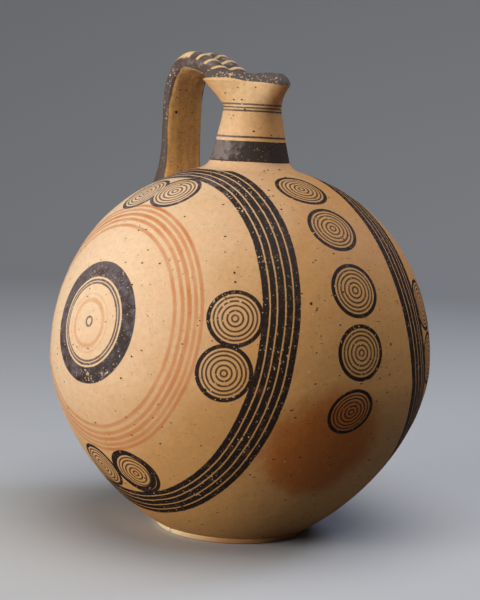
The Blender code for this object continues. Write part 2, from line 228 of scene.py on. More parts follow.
@dataclass(frozen=True)
class Circles:
    """Concentric rings painted round a point of the flank, measured in degrees from it."""

    azimuth: float
    elevation: float
    stripes: tuple[Stripe, ...]
    # Half the width of a feathered edge, and how far the brush strays, as on all that is painted.
    soft: float = 0.09
    sway: float = 0.22

    def cover(self, tree: bpy.types.NodeTree, place: Socket, sway: Socket) -> Socket:
        """Cover of these rings.

        Args:
            tree: The material's tree.
            place: Object coordinates in millimetres.
            sway: A slow drift of the hand, from -1 to 1.

        Returns:
            The cover, from 0 to 1.
        """
        offset = put(tree, VECTOR, (place, (0, 0, BODY.seam)), operation="SUBTRACT")
        towards = put(tree, VECTOR, (offset,), operation="NORMALIZE")
        pole = tuple(direction(self.azimuth, self.elevation))
        near = put(tree, VECTOR, (towards, pole), out="Value", operation="DOT_PRODUCT")
        turn = put(tree, MATH, (near,), operation="ARCCOSINE")
        angle = put(tree, MATH, (turn,), operation="DEGREES")
        drift = put(tree, MATH, (sway, self.sway, angle), operation="MULTIPLY_ADD")
        return stripe_cover(tree, drift, self.stripes, self.soft)


@dataclass(frozen=True)
class Motif:
    """A small target of compass-drawn rings, by its place on the body and its shape."""

    towards: Vector
    size: float = 1.0
    # How many times narrower it is along its bearing, which is in degrees above level.
    squeeze: float = 1.0
    bearing: float = 0.0

    def distance(self, tree: bpy.types.NodeTree, place: Socket) -> Socket:
        """Distance from the motif's middle, in its own rings' measure.

        Args:
            tree: The material's tree.
            place: Object coordinates in millimetres.

        Returns:
            The distance in millimetres.
        """
        middle = BODY.point(self.towards)
        if self.squeeze == 1.0:
            reach = put(tree, VECTOR, (place, tuple(middle)), out="Value", operation="DISTANCE")
        else:
            side = Vector((0, 0, 1)).cross(self.towards).normalized()
            above = self.towards.cross(side)
            axis = tuple(side * cos(radians(self.bearing)) + above * sin(radians(self.bearing)))
            offset = put(tree, VECTOR, (place, tuple(middle)), operation="SUBTRACT")
            along = put(tree, VECTOR, (offset, axis), out="Value", operation="DOT_PRODUCT")
            more = put(tree, MATH, (along, self.squeeze - 1), operation="MULTIPLY")
            extra = put(tree, VECTOR, {0: axis, "Scale": more}, operation="SCALE")
            total = put(tree, VECTOR, (offset, extra), operation="ADD")
            reach = put(tree, VECTOR, (total,), out="Value", operation="LENGTH")
        return put(tree, MATH, (reach, self.size), operation="DIVIDE")


def on_flank(pole: tuple[float, float], polar: float, clock: float, **shape: float) -> Motif:
    """A motif placed by angles from a flank's middle, in degrees.

    Args:
        pole: Azimuth and elevation of the flank's middle.
        polar: Angle away from that middle.
        clock: Angle round it, from the top.
        shape: The motif's size, squeeze and bearing.

    Returns:
        The motif.
    """
    middle = direction(*pole)
    up = (Vector((0, 0, 1)) - middle * middle.z).normalized()
    side = up.cross(middle)
    p, c = radians(polar), radians(clock)
    return Motif(cos(p) * middle + sin(p) * (cos(c) * up + sin(c) * side), **shape)


def at(azimuth: float, elevation: float, **shape: float) -> Motif:
    """A motif by its azimuth and elevation from the middle of the body."""
    return Motif(direction(azimuth, elevation), **shape)


class Decoration(Protocol):
    """What is painted on a piece."""

    def cover(self, tree: bpy.types.NodeTree, place: Socket, sway: Socket) -> Covers:
        """Cover of each pigment.

        Args:
            tree: The material's tree.
            place: Object coordinates in millimetres.
            sway: A slow drift of the hand, from -1 to 1.

        Returns:
            The cover of each pigment that is used, from 0 to 1.
        """


def strongest(tree: bpy.types.NodeTree, covers: Sequence[Socket]) -> Socket:
    """The highest of several covers.

    Args:
        tree: The material's tree.
        covers: The covers, at least one.

    Returns:
        The highest at each place.
    """
    total = covers[0]
    for cover in covers[1:]:
        total = put(tree, MATH, (total, cover), operation="MAXIMUM")
    return total


@dataclass(frozen=True)
class BodyPainting:
    """The circle-style scheme of the body: great rings on both flanks, and columns of motifs."""

    black: tuple[Circles, ...]
    red: tuple[Circles, ...]
    motifs: tuple[Motif, ...]
    rings: tuple[Stripe, ...]
    soft: float = 0.17
    sway: float = 0.18

    def cover(self, tree: bpy.types.NodeTree, place: Socket, sway: Socket) -> Covers:
        """Cover of both pigments.

        Args:
            tree: The material's tree.
            place: Object coordinates in millimetres.
            sway: A slow drift of the hand, from -1 to 1.

        Returns:
            The cover of each pigment.
        """
        nearest = self.motifs[0].distance(tree, place)
        for motif in self.motifs[1:]:
            nearest = put(tree, MATH, (nearest, motif.distance(tree, place)), operation="MINIMUM")
        shaken = put(tree, MATH, (sway, self.sway, nearest), operation="MULTIPLY_ADD")
        targets = stripe_cover(tree, shaken, self.rings, self.soft)
        black, red = ([circles.cover(tree, place, sway) for circles in group]
                      for group in (self.black, self.red))
        return {Pigment.BLACK: strongest(tree, [targets] + black),
                Pigment.RED: strongest(tree, red)}


@dataclass(frozen=True)
class Bands:
    """Level bands round the neck, by their height in millimetres."""

    stripes: tuple[Stripe, ...]
    soft: float = 0.16
    sway: float = 0.3

    def cover(self, tree: bpy.types.NodeTree, place: Socket, sway: Socket) -> Covers:
        """Cover of the black bands.

        Args:
            tree: The material's tree.
            place: Object coordinates in millimetres.
            sway: A slow drift of the hand, from -1 to 1.

        Returns:
            The cover of black.
        """
        height = put(tree, "ShaderNodeSeparateXYZ", (place,), out=2)
        drift = put(tree, MATH, (sway, self.sway, height), operation="MULTIPLY_ADD")
        return {Pigment.BLACK: stripe_cover(tree, drift, self.stripes, self.soft)}


@dataclass(frozen=True)
class Reserved:
    """Paint that follows a piece's own attribute, positive inside the painted field, with bands."""

    attribute: str
    bands: Bands
    soft: float = 0.2
    sway: float = 0.35

    def cover(self, tree: bpy.types.NodeTree, place: Socket, sway: Socket) -> Covers:
        """Cover of black from the attribute and from the level bands.

        Args:
            tree: The material's tree.
            place: Object coordinates in millimetres.
            sway: A slow drift of the hand, from -1 to 1.

        Returns:
            The cover of black.
        """
        depth = put(tree, "ShaderNodeAttribute", out="Fac", attribute_name=self.attribute)
        drift = put(tree, MATH, (sway, self.sway, depth), operation="MULTIPLY_ADD")
        field = put(tree, RANGE, (drift, -self.soft, self.soft, 0.0, 1.0))
        lines = self.bands.cover(tree, place, sway)[Pigment.BLACK]
        return {Pigment.BLACK: strongest(tree, [field, lines])}


@dataclass(frozen=True)
class Plain:
    """No paint."""

    def cover(self, tree: bpy.types.NodeTree, place: Socket, sway: Socket) -> Covers:
        """Nothing is covered."""
        return {}


# Marks of grit, handling and wear


@dataclass(frozen=True)
class Specks:
    """Scattered round specks, at most one to a cell, in millimetres."""

    # The cells' mean width, a speck's smallest and largest radius, and the share of the cells
    # that hold one.
    spacing: float
    radii: tuple[float, float]
    share: float
    # How far their outlines stray from round, and over what length.
    ragged: float = 0.5
    ragged_width: float = 0.8

    def depth(self, tree: bpy.types.NodeTree, place: Socket) -> Socket:
        """How far inside a speck's edge each place is.

        Args:
            tree: The material's tree.
            place: Object coordinates in millimetres.

        Returns:
            The depth in millimetres, negative outside.
        """
        warp = put(tree, NOISE, {"Vector": place, "Scale": 1 / self.ragged_width, "Detail": 1.0},
                   out="Color")
        bent = put(tree, VECTOR, {0: warp, 1: (self.ragged,) * 3, 2: place},
                   operation="MULTIPLY_ADD")
        cell = put(tree, "ShaderNodeTexVoronoi", {"Vector": bent, "Scale": 1 / self.spacing})
        luck = put(tree, "ShaderNodeSeparateColor", (cell.node.outputs["Color"],))
        radius = put(tree, RANGE, (luck, 1 - self.share, 1.0, *self.radii))
        absent = put(tree, MATH, (luck, 1 - self.share), operation="LESS_THAN")
        held = put(tree, MATH, (absent, -self.spacing, radius), operation="MULTIPLY_ADD")
        return put(tree, MATH, (cell, -self.spacing, held), operation="MULTIPLY_ADD")


@dataclass(frozen=True)
class Scratches:
    """Fine strokes along Y: the ridges of noise that is drawn out along it."""

    # Cells per millimetre before the drawing out, the squeeze along each axis, the turn in
    # radians that keeps the noise's own grid off the strokes, and its detail.
    rate: float
    squeeze: tuple[float, float, float]
    turn: tuple[float, float, float]
    detail: float
    # Between which values of the noise a stroke sets in, and how much it takes away.
    cut: tuple[float, float]
    loss: float

    def cover(self, tree: bpy.types.NodeTree, place: Socket) -> Socket:
        """Where the strokes are.

        Args:
            tree: The material's tree.
            place: Object coordinates in millimetres.

        Returns:
            What they take away, from 0 to their loss.
        """
        drawn = put(tree, "ShaderNodeMapping", {"Vector": place, "Rotation": self.turn,
                                                "Scale": self.squeeze})
        ridges = put(tree, NOISE, {"Vector": drawn, "Scale": self.rate, "Detail": self.detail})
        return put(tree, RANGE, (ridges, *self.cut, 0.0, self.loss))


# Finishes


@dataclass(frozen=True)
class PaintedSlip:
    """Earthenware under a burnished buff slip, painted before firing."""

    # Wheel-thrown earthenware, dipped in a fine slip and rubbed with a pebble: matt to satin,
    # with pits and lime grits of the clay. Paler where the slip lies deep, ochre where it is thin,
    # and on top of that pale on the lit side and ochre on the shaded side, which is painted light.
    name: str
    decoration: Decoration
    pale: str = "#EDC9A2"
    ochre: str = "#D39A5C"
    blush: str = "#BE6C2C"
    # Painted shade in the pits, holes and nicks.
    pit_shade: str = "#302015"
    grit: str = "#F4E6D0"
    # Manganese paint fired matt black-brown, thin enough to wear off in chips and scratches.
    black: str = "#261A13"
    black_worn: str = "#66402C"
    # Dusty black: dust in clouds, and painted sheen on the lit side.
    black_dust_and_sheen: str = "#665B5A"
    # Iron red paint, a thin wash that has faded to pink: the least and most of it that is left.
    red: str = "#CA804C"
    red_left: tuple[float, float] = (0.6, 1.0)
    fade_mm: float = 14.0
    slip_roughness: float = 0.6
    black_roughness: float = 0.6
    roughness_swing: float = 0.05
    sheen_level: float = 0.22
    # Where the slip is pale, from blotches of deep slip and from painted light on the lit side, and
    # where the fire left its blush, which on the mouth is painted shade under the spout; each seen
    # from a height on the axis: the azimuth and elevation of each, and the cosines between which
    # each gives way.
    middle_mm: float = BODY.seam
    lit_side_towards: tuple[float, float] = (-28.0, 32.0)
    pale_fall: tuple[float, float] = (1.1, 0.42)
    blotch_mm: float = 26.0
    blotch_share: float = 0.35
    blush_towards: tuple[float, float] = (77.5, -17.5)
    blush_rise: tuple[float, float] = (0.967, 1.022)
    blush_ragged: float = 0.08
    blush_share: float = 1.0
    # How far the maker's fingers or rib drew the surface out: shares of a cell along each axis.
    drawn: tuple[float, float, float] = (0.02, 0.02, 1.0)
    drawn_spacing_mm: float = 1.8
    drawn_depth_mm: float = 0.03
    # How uneven the ground is: its tone, as a share, and the depth of its soft dents.
    mottle: float = 0.075
    mottle_mm: float = 3.4
    dent_mm: float = 0.15
    dent_width_mm: float = 6.5
    # The clay's grain, drawn coarser than its real 0.1 to 0.3 mm so that it shows.
    grain_mm: float = 0.9
    grain_depth_mm: float = 0.05
    # Pits that grits left as the wheel dragged them, and larger holes, both with a raised lip;
    # lime grits that show; nicks 0.3 mm wide and 2 to 4 mm long.
    pits: Specks = Specks(4.2, (0.1, 0.55), 0.75)
    pit_drag: tuple[float, float, float] = (0.75, 0.75, 1.25)
    holes: Specks = Specks(13.0, (0.3, 1.05), 0.4)
    pit_depth_mm: float = 0.55
    pit_lip_mm: float = 0.1
    pit_lip_reach_mm: float = 0.5
    grits: Specks = Specks(4.6, (0.1, 0.35), 0.3)
    grit_cover: float = 0.8
    # Half the width of the soft edge of a pit, a grit or a knock.
    speck_soft_mm: float = 0.1
    nicks: Scratches = Scratches(0.55, (2.6, 0.35, 2.6), (0.3, 0.9, 0.6), 1.0, (0.735, 0.765), 0.75)
    # How the black wears: chips that crowd in patches, scratches, small knocks, and places in
    # millimetres, each with its radius, where handling has knocked the paint off, most in a
    # core of that radius. Wear adds to the chips and the small knocks. What is bared is part
    # pale slip, part stain.
    wear: float = 0.0
    chip_mm: float = 1.5
    chip_patch_mm: float = 17.0
    chip_patch_share: float = 0.22
    chip_cut: tuple[float, float] = (0.765, 0.795)
    chip_loss: float = 0.95
    scratches: Scratches = Scratches(0.9, (1.4, 0.09, 1.4), (0.7, 0.4, 0.5), 2.0, (0.70, 0.74), 0.7)
    small_knocks: Specks = Specks(2.8, (0.08, 0.36), 0.34)
    knocked: tuple[tuple[tuple[float, float, float], float], ...] = ()
    knock_loss: float = 0.09
    knock_core: float = 0.4
    bared: float = 0.6
    # The black's thickness, and its clouds: between which values of their noise it turns brown, and
    # between which, with how ochre the slip is, it goes from dusty to dense: dust in the clouds,
    # and painted sheen on the lit side.
    black_mm: float = 0.035
    cloud_mm: float = 5.0
    cloud_share: float = 1.4
    brown_clouds: tuple[float, float] = (0.55, 0.9)
    dense_clouds: tuple[float, float] = (0.72, 1.17)
    # How the brush strays: a slow drift, with a quick tremor on it.
    drift_mm: float = 34.0
    tremor_mm: float = 2.2
    tremor_share: float = 0.35

    def material(self) -> bpy.types.Material:
        """Builds the material.

        Returns:
            The material, reading Object coordinates.
        """
        material = bpy.data.materials.new(self.name)
        material.use_nodes = True
        tree = material.node_tree
        tree.nodes.clear()
        metres = put(tree, "ShaderNodeTexCoord", out="Object")
        place = put(tree, VECTOR, {0: metres, "Scale": 1 / MM}, operation="SCALE")
        colour, height, shade_and_thin_slip = self.slip(tree, place)
        covers = self.decoration.cover(tree, place, self.sway(tree, place))
        if Pigment.RED in covers:
            faded = self.faded_red(tree, place, covers[Pigment.RED])
            colour = put(tree, MIX, {0: faded, 6: colour, 7: linear(self.red)}, **IN_COLOUR)
        rough: Socket | float = self.slip_roughness
        if Pigment.BLACK in covers:
            kept = self.worn_black(tree, place, covers[Pigment.BLACK])
            colour = self.lay_black(tree, place, colour, (covers[Pigment.BLACK], kept), shade_and_thin_slip)
            rough = put(tree, RANGE, (kept, 0.0, 1.0, self.slip_roughness, self.black_roughness))
            height = put(tree, MATH, (kept, self.black_mm, height), operation="MULTIPLY_ADD")
        grain = put(tree, NOISE, {"Vector": place, "Scale": 1 / self.grain_mm, "Detail": 3.0})
        spread = put(tree, RANGE, (grain, 0.3, 0.7, -self.roughness_swing, self.roughness_swing))
        roughness = put(tree, MATH, (spread, rough), operation="ADD")
        height = put(tree, MATH, (grain, self.grain_depth_mm, height), operation="MULTIPLY_ADD")
        bump = put(tree, "ShaderNodeBump", {"Strength": 1.0, "Distance": MM, "Height": height})
        shader = put(tree, "ShaderNodeBsdfPrincipled",
                     {"Base Color": colour, "Roughness": roughness, "Normal": bump, "IOR": 1.5,
                      "Specular IOR Level": self.sheen_level})
        put(tree, "ShaderNodeOutputMaterial", {"Surface": shader})
        return material

    def sway(self, tree: bpy.types.NodeTree, place: Socket) -> Socket:
        """How far the brush strays from its path.

        Args:
            tree: The material's tree.
            place: Object coordinates in millimetres.

        Returns:
            The stray, from -1 to 1 with a little more for the tremor.
        """
        parts = []
        for wave, detail, reach in ((self.drift_mm, 1.0, 1.0),
                                    (self.tremor_mm, 2.0, self.tremor_share)):
            noise = put(tree, NOISE, {"Vector": place, "Scale": 1 / wave, "Detail": detail})
            parts.append(put(tree, RANGE, (noise, 0.2, 0.8, -reach, reach)))
        return put(tree, MATH, parts, operation="ADD")

    def slip(self, tree: bpy.types.NodeTree, place: Socket) -> tuple[Socket, Socket, Socket]:
        """The slip before it is painted.

        Args:
            tree: The material's tree.
            place: Object coordinates in millimetres.

        Returns:
            Its colour, its relief in millimetres, and how ochre it is, from 0 to 1, as thin slip
            and painted shade.
        """
        colour, thin = self.ground(tree, place)
        # Throwing lines or finger marks, smoothed by the slip, over a finer mottle.
        flat = put(tree, "ShaderNodeMapping", {"Vector": place, "Scale": self.drawn})
        lines = put(tree, NOISE, {"Vector": flat, "Scale": 1 / self.drawn_spacing_mm,
                                  "Detail": 2.0})
        mottle = put(tree, NOISE, {"Vector": place, "Scale": 1 / self.mottle_mm, "Detail": 5.0,
                                   "Roughness": 0.65})
        tone = put(tree, MATH, (lines, 3 * self.drawn_depth_mm, mottle), operation="MULTIPLY_ADD")
        # The mottle's noise runs from 0.35 to 0.8, and the lines' own middle of 0.5 moves it up.
        middle, reach = 0.575 + 1.5 * self.drawn_depth_mm, 0.225
        value = put(tree, RANGE, (tone, middle - reach, middle + reach, 1 - self.mottle,
                                  1 + self.mottle))
        colour = put(tree, "ShaderNodeHueSaturation", {"Value": value, "Color": colour})
        dragged = put(tree, "ShaderNodeMapping", {"Vector": place, "Scale": self.pit_drag})
        small, large = self.pits.depth(tree, dragged), self.holes.depth(tree, place)
        open_pits = put(tree, MATH, (small, large), operation="MAXIMUM")
        soft = self.speck_soft_mm
        pits = put(tree, RANGE, (open_pits, -soft, soft, 0.0, 1.0))
        lips = put(tree, RANGE, (open_pits, -self.pit_lip_reach_mm, -soft, 0.0, 1.0))
        pits = strongest(tree, [pits, self.nicks.cover(tree, place)])
        grits = self.grits.depth(tree, place)
        limy = put(tree, RANGE, (grits, -soft, soft, 0.0, self.grit_cover))
        colour = put(tree, MIX, {0: limy, 6: colour, 7: linear(self.grit)}, **IN_COLOUR)
        # Pits, holes and nicks take a dark colour, painted shade in those hollows, as well as being
        # sunk in the relief.
        colour = put(tree, MIX, {0: pits, 6: colour, 7: linear(self.pit_shade)}, **IN_COLOUR)
        dents = put(tree, NOISE, {"Vector": place, "Scale": 1 / self.dent_width_mm, "Detail": 2.0})
        relief = put(tree, MATH, (lines, self.drawn_depth_mm), operation="MULTIPLY")
        for part, depth in ((dents, self.dent_mm), (lips, self.pit_lip_mm),
                            (pits, -self.pit_depth_mm)):
            relief = put(tree, MATH, (part, depth, relief), operation="MULTIPLY_ADD")
        return colour, relief, thin

    def ground(self, tree: bpy.types.NodeTree, place: Socket) -> tuple[Socket, Socket]:
        """The slip's broad colouring: pale on the lit side and ochre on the shaded side as painted
        light, paler where the slip lies deep in blotches, and orange in the fire's blush, painted
        shade on the mouth.

        Args:
            tree: The material's tree.
            place: Object coordinates in millimetres.

        Returns:
            The colour, and how ochre it is, from 0 to 1, as thin slip and painted shade.
        """
        blotch = put(tree, NOISE, {"Vector": place, "Scale": 1 / self.blotch_mm, "Detail": 4.0,
                                   "Roughness": 0.6})
        offset = put(tree, VECTOR, (place, (0, 0, self.middle_mm)), operation="SUBTRACT")
        towards = put(tree, VECTOR, (offset,), operation="NORMALIZE")
        lit, blush_facing = [put(tree, VECTOR, (towards, tuple(direction(*way))), out="Value",
                        operation="DOT_PRODUCT")
                    for way in (self.lit_side_towards, self.blush_towards)]
        # Paler towards the lit side, which is painted light, and paler where blotches of slip lie
        # deep.
        lit_and_thick = put(tree, MATH, (blotch, self.blotch_share, lit), operation="MULTIPLY_ADD")
        thin = put(tree, RANGE, (lit_and_thick, *self.pale_fall, 0.0, 1.0))
        # The blush is a fire cloud on the body, and painted shade under the spout on the mouth.
        blush_reach = put(tree, MATH, (blotch, self.blush_ragged, blush_facing), operation="MULTIPLY_ADD")
        blush_cover = put(tree, RANGE, (blush_reach, *self.blush_rise, 0.0, self.blush_share),
                    interpolation_type="SMOOTHSTEP")
        colour = put(tree, MIX, {0: thin, 6: linear(self.pale), 7: linear(self.ochre)}, **IN_COLOUR)
        return put(tree, MIX, {0: blush_cover, 6: colour, 7: linear(self.blush)}, **IN_COLOUR), thin

    def worn_black(self, tree: bpy.types.NodeTree, place: Socket, cover: Socket) -> Socket:
        """What chips, scratches and knocks have left of the black paint.

        Args:
            tree: The material's tree.
            place: Object coordinates in millimetres.
            cover: The paint's cover when it was new.

        Returns:
            The cover that is left, from 0 to 1.
        """
        chips = put(tree, NOISE, {"Vector": place, "Scale": 1 / self.chip_mm, "Detail": 3.0,
                                  "Roughness": 0.6})
        patches = put(tree, NOISE, {"Vector": place, "Scale": 1 / self.chip_patch_mm,
                                    "Detail": 2.0})
        ease = put(tree, MATH, (patches, self.chip_patch_share, chips), operation="MULTIPLY_ADD")
        for spot, radius in self.knocked:
            away = put(tree, VECTOR, (place, spot), out="Value", operation="DISTANCE")
            eased = put(tree, RANGE, (away, radius, self.knock_core * radius, 0.0, self.knock_loss))
            ease = put(tree, MATH, (ease, eased), operation="ADD")
        least, most = (cut - self.wear for cut in self.chip_cut)
        chipped = put(tree, RANGE, (ease, least, most, 0.0, self.chip_loss))
        scratched = self.scratches.cover(tree, place)
        smallest, largest = self.small_knocks.radii
        worn = replace(self.small_knocks, radii=(smallest, largest + self.wear))
        knocks = worn.depth(tree, place)
        knocked = put(tree, RANGE, (knocks, -self.speck_soft_mm, self.speck_soft_mm, 0.0, 1.0))
        loss = strongest(tree, [chipped, scratched, knocked])
        kept = put(tree, MATH, (1.0, loss), operation="SUBTRACT")
        return put(tree, MATH, (cover, kept), operation="MULTIPLY")

    def lay_black(self, tree: bpy.types.NodeTree, place: Socket, colour: Socket,
                  covers: tuple[Socket, Socket], shade_and_thin_slip: Socket) -> Socket:
        """Lays the black paint on the slip: dusty and brown in clouds, lighter on the lit side as
        painted sheen, pale where it has gone.

        Args:
            tree: The material's tree.
            place: Object coordinates in millimetres.
            colour: What is under it.
            covers: The paint's cover when it was new, and what is left of it.
            shade_and_thin_slip: How ochre the slip is, as thin slip and painted shade; the black is
                dusty where it is low, as painted sheen.

        Returns:
            The colour with the paint.
        """
        gone = put(tree, MATH, covers, operation="SUBTRACT")
        bared = put(tree, MATH, (gone, self.bared), operation="MULTIPLY")
        colour = put(tree, MIX, {0: bared, 6: colour, 7: linear(self.pale)}, **IN_COLOUR)
        tone = put(tree, NOISE, {"Vector": place, "Scale": 1 / self.cloud_mm, "Detail": 3.0})
        thin = put(tree, RANGE, (tone, *self.brown_clouds, 0.0, 1.0))
        clouded = put(tree, MATH, (tone, self.cloud_share, shade_and_thin_slip), operation="MULTIPLY_ADD")
        dense = put(tree, RANGE, (clouded, *self.dense_clouds, 0.0, 1.0))
        paint = put(tree, MIX, {0: dense, 6: linear(self.black_dust_and_sheen), 7: linear(self.black)},
                    **IN_COLOUR)
        paint = put(tree, MIX, {0: thin, 6: paint, 7: linear(self.black_worn)}, **IN_COLOUR)
        return put(tree, MIX, {0: covers[1], 6: colour, 7: paint}, **IN_COLOUR)

    def faded_red(self, tree: bpy.types.NodeTree, place: Socket, cover: Socket) -> Socket:
        """What is left of the red wash, which is thinner in some places than in others.

        Args:
            tree: The material's tree.
            place: Object coordinates in millimetres.
            cover: The paint's cover when it was new.

        Returns:
            The cover that is left, from 0 to 1.
        """
        fade = put(tree, NOISE, {"Vector": place, "Scale": 1 / self.fade_mm, "Detail": 3.0})
        left = put(tree, RANGE, (fade, 0.3, 0.65, *self.red_left))
        return put(tree, MATH, (cover, left), operation="MULTIPLY")


# Meshes


def mesh_piece(name: str, rings: Sequence[Sequence[Vector]],
               ends: Ends = Ends.JOINED) -> bpy.types.Object:
    """Skins a stack of closed rings, in millimetres, into an object in metres.

    Args:
        name: The object's name.
        rings: Rings with equal numbers of points.
        ends: What becomes of the first and last ring.

    Returns:
        The new object.
    """
    mesh = bpy.data.meshes.new(name)
    count = len(rings[0])
    points = [tuple(p * MM for p in point) for ring in rings for point in ring]
    faces: list[tuple[int, ...]] = []
    for r in range(len(rings) if ends is Ends.JOINED else len(rings) - 1):
        low, high = r * count, (r + 1) % len(rings) * count
        for k in range(count):
            n = (k + 1) % count
            faces.append((low + k, low + n, high + n, high + k))
    if ends is Ends.CAPPED:
        faces.append(tuple(range(count))[::-1])
        faces.append(tuple(range((len(rings) - 1) * count, len(rings) * count)))
    mesh.from_pydata(points, [], faces)
    piece = bpy.data.objects.new(name, mesh)
    bpy.context.scene.collection.objects.link(piece)
    return piece


def turned(profile: Profile, sides: int) -> list[list[Vector]]:
    """Rings of a profile of (radius, height) turned about the neck's axis."""
    return [[Vector((r * cos(tau * k / sides), r * sin(tau * k / sides), z)) for k in range(sides)]
            for r, z in profile]


def give(piece: bpy.types.Object, tree: bpy.types.NodeTree, sizes: dict[str, object]) -> None:
    """Puts a Geometry Nodes tree on a piece and fills its named inputs.

    Args:
        piece: The object.
        tree: The tree.
        sizes: Values by input name.
    """
    modifier = piece.modifiers.new(tree.name, "NODES")
    modifier.node_group = tree
    for item in tree.interface.items_tree:
        if item.item_type == "SOCKET" and item.in_out == "INPUT" and item.name in sizes:
            modifier[item.identifier] = sizes[item.name]


def settle(piece: bpy.types.Object, crease: float = 38.0) -> None:
    """Makes a piece's modifiers real, merges its doubles and turns its faces outwards.

    Args:
        piece: The object.
        crease: Angle in degrees past which an edge stays sharp.
    """
    graph = bpy.context.evaluated_depsgraph_get()
    mesh = bpy.data.meshes.new_from_object(piece.evaluated_get(graph))
    piece.modifiers.clear()
    piece.data = mesh
    work = bmesh.new()
    work.from_mesh(mesh)
    bmesh.ops.remove_doubles(work, verts=work.verts, dist=1e-7)
    bmesh.ops.recalc_face_normals(work, faces=work.faces)
    loose = sum(1 for edge in work.edges if not edge.is_manifold)
    work.to_mesh(mesh)
    work.free()
    mesh.shade_smooth()
    mesh.set_sharp_from_angle(angle=radians(crease))
    LOG.info("%s: %d faces, %d open edges", piece.name, len(mesh.polygons), loose)


def new_tree(name: str, inputs: Sequence[tuple[str, str]]) -> bpy.types.NodeTree:
    """A Geometry Nodes tree with named inputs and a geometry output.

    Args:
        name: The tree's name.
        inputs: Each input's name and its kind of socket.

    Returns:
        The tree, with no nodes yet.
    """
    tree = bpy.data.node_groups.new(name, "GeometryNodeTree")
    for label, kind in inputs:
        tree.interface.new_socket(name=label, in_out="INPUT", socket_type="NodeSocket" + kind)
    tree.interface.new_socket(name="Geometry", in_out="OUTPUT", socket_type="NodeSocketGeometry")
    return tree


def wobble_tree() -> bpy.types.NodeTree:
    """The unevenness of hand work: slow drifts and smaller dents, but none at the ground.

    Returns:
        The tree, with its sizes in metres as named inputs.
    """
    tree = new_tree("hand_wobble", (
        ("Geometry", "Geometry"), ("Depth", "Float"), ("Wavelength", "Float"),
        ("Dent Depth", "Float"), ("Dent Width", "Float"), ("Ground", "Float"),
        ("Clay", "Material")))
    given = put(tree, "NodeGroupInput").node.outputs
    here = put(tree, "GeometryNodeInputPosition")
    drifts = []
    for depth, width in (("Depth", "Wavelength"), ("Dent Depth", "Dent Width")):
        rate = put(tree, MATH, (1.0, given[width]), operation="DIVIDE")
        noise = put(tree, NOISE, {"Vector": here, "Scale": rate, "Detail": 1.0}, out="Color")
        centred = put(tree, VECTOR, (noise, (0.5, 0.5, 0.5)), operation="SUBTRACT")
        drifts.append(put(tree, VECTOR, {0: centred, "Scale": given[depth]}, operation="SCALE"))
    drift = put(tree, VECTOR, tuple(drifts), operation="ADD")
    height = put(tree, "ShaderNodeSeparateXYZ", (here,), out=2)
    # Noise keeps within half a unit of its middle, so 2 makes the depth its full swing.
    free = put(tree, RANGE, (height, 0.0, given["Ground"], 0.0, 2.0),
               interpolation_type="SMOOTHSTEP")
    offset = put(tree, VECTOR, {0: drift, "Scale": free}, operation="SCALE")
    moved = put(tree, "GeometryNodeSetPosition", {"Geometry": given["Geometry"], "Offset": offset})
    real = put(tree, "GeometryNodeRealizeInstances", {"Geometry": moved})
    clad = put(tree, "GeometryNodeSetMaterial", {"Geometry": real, "Material": given["Clay"]})
    put(tree, "NodeGroupOutput", (clad,))
    return tree


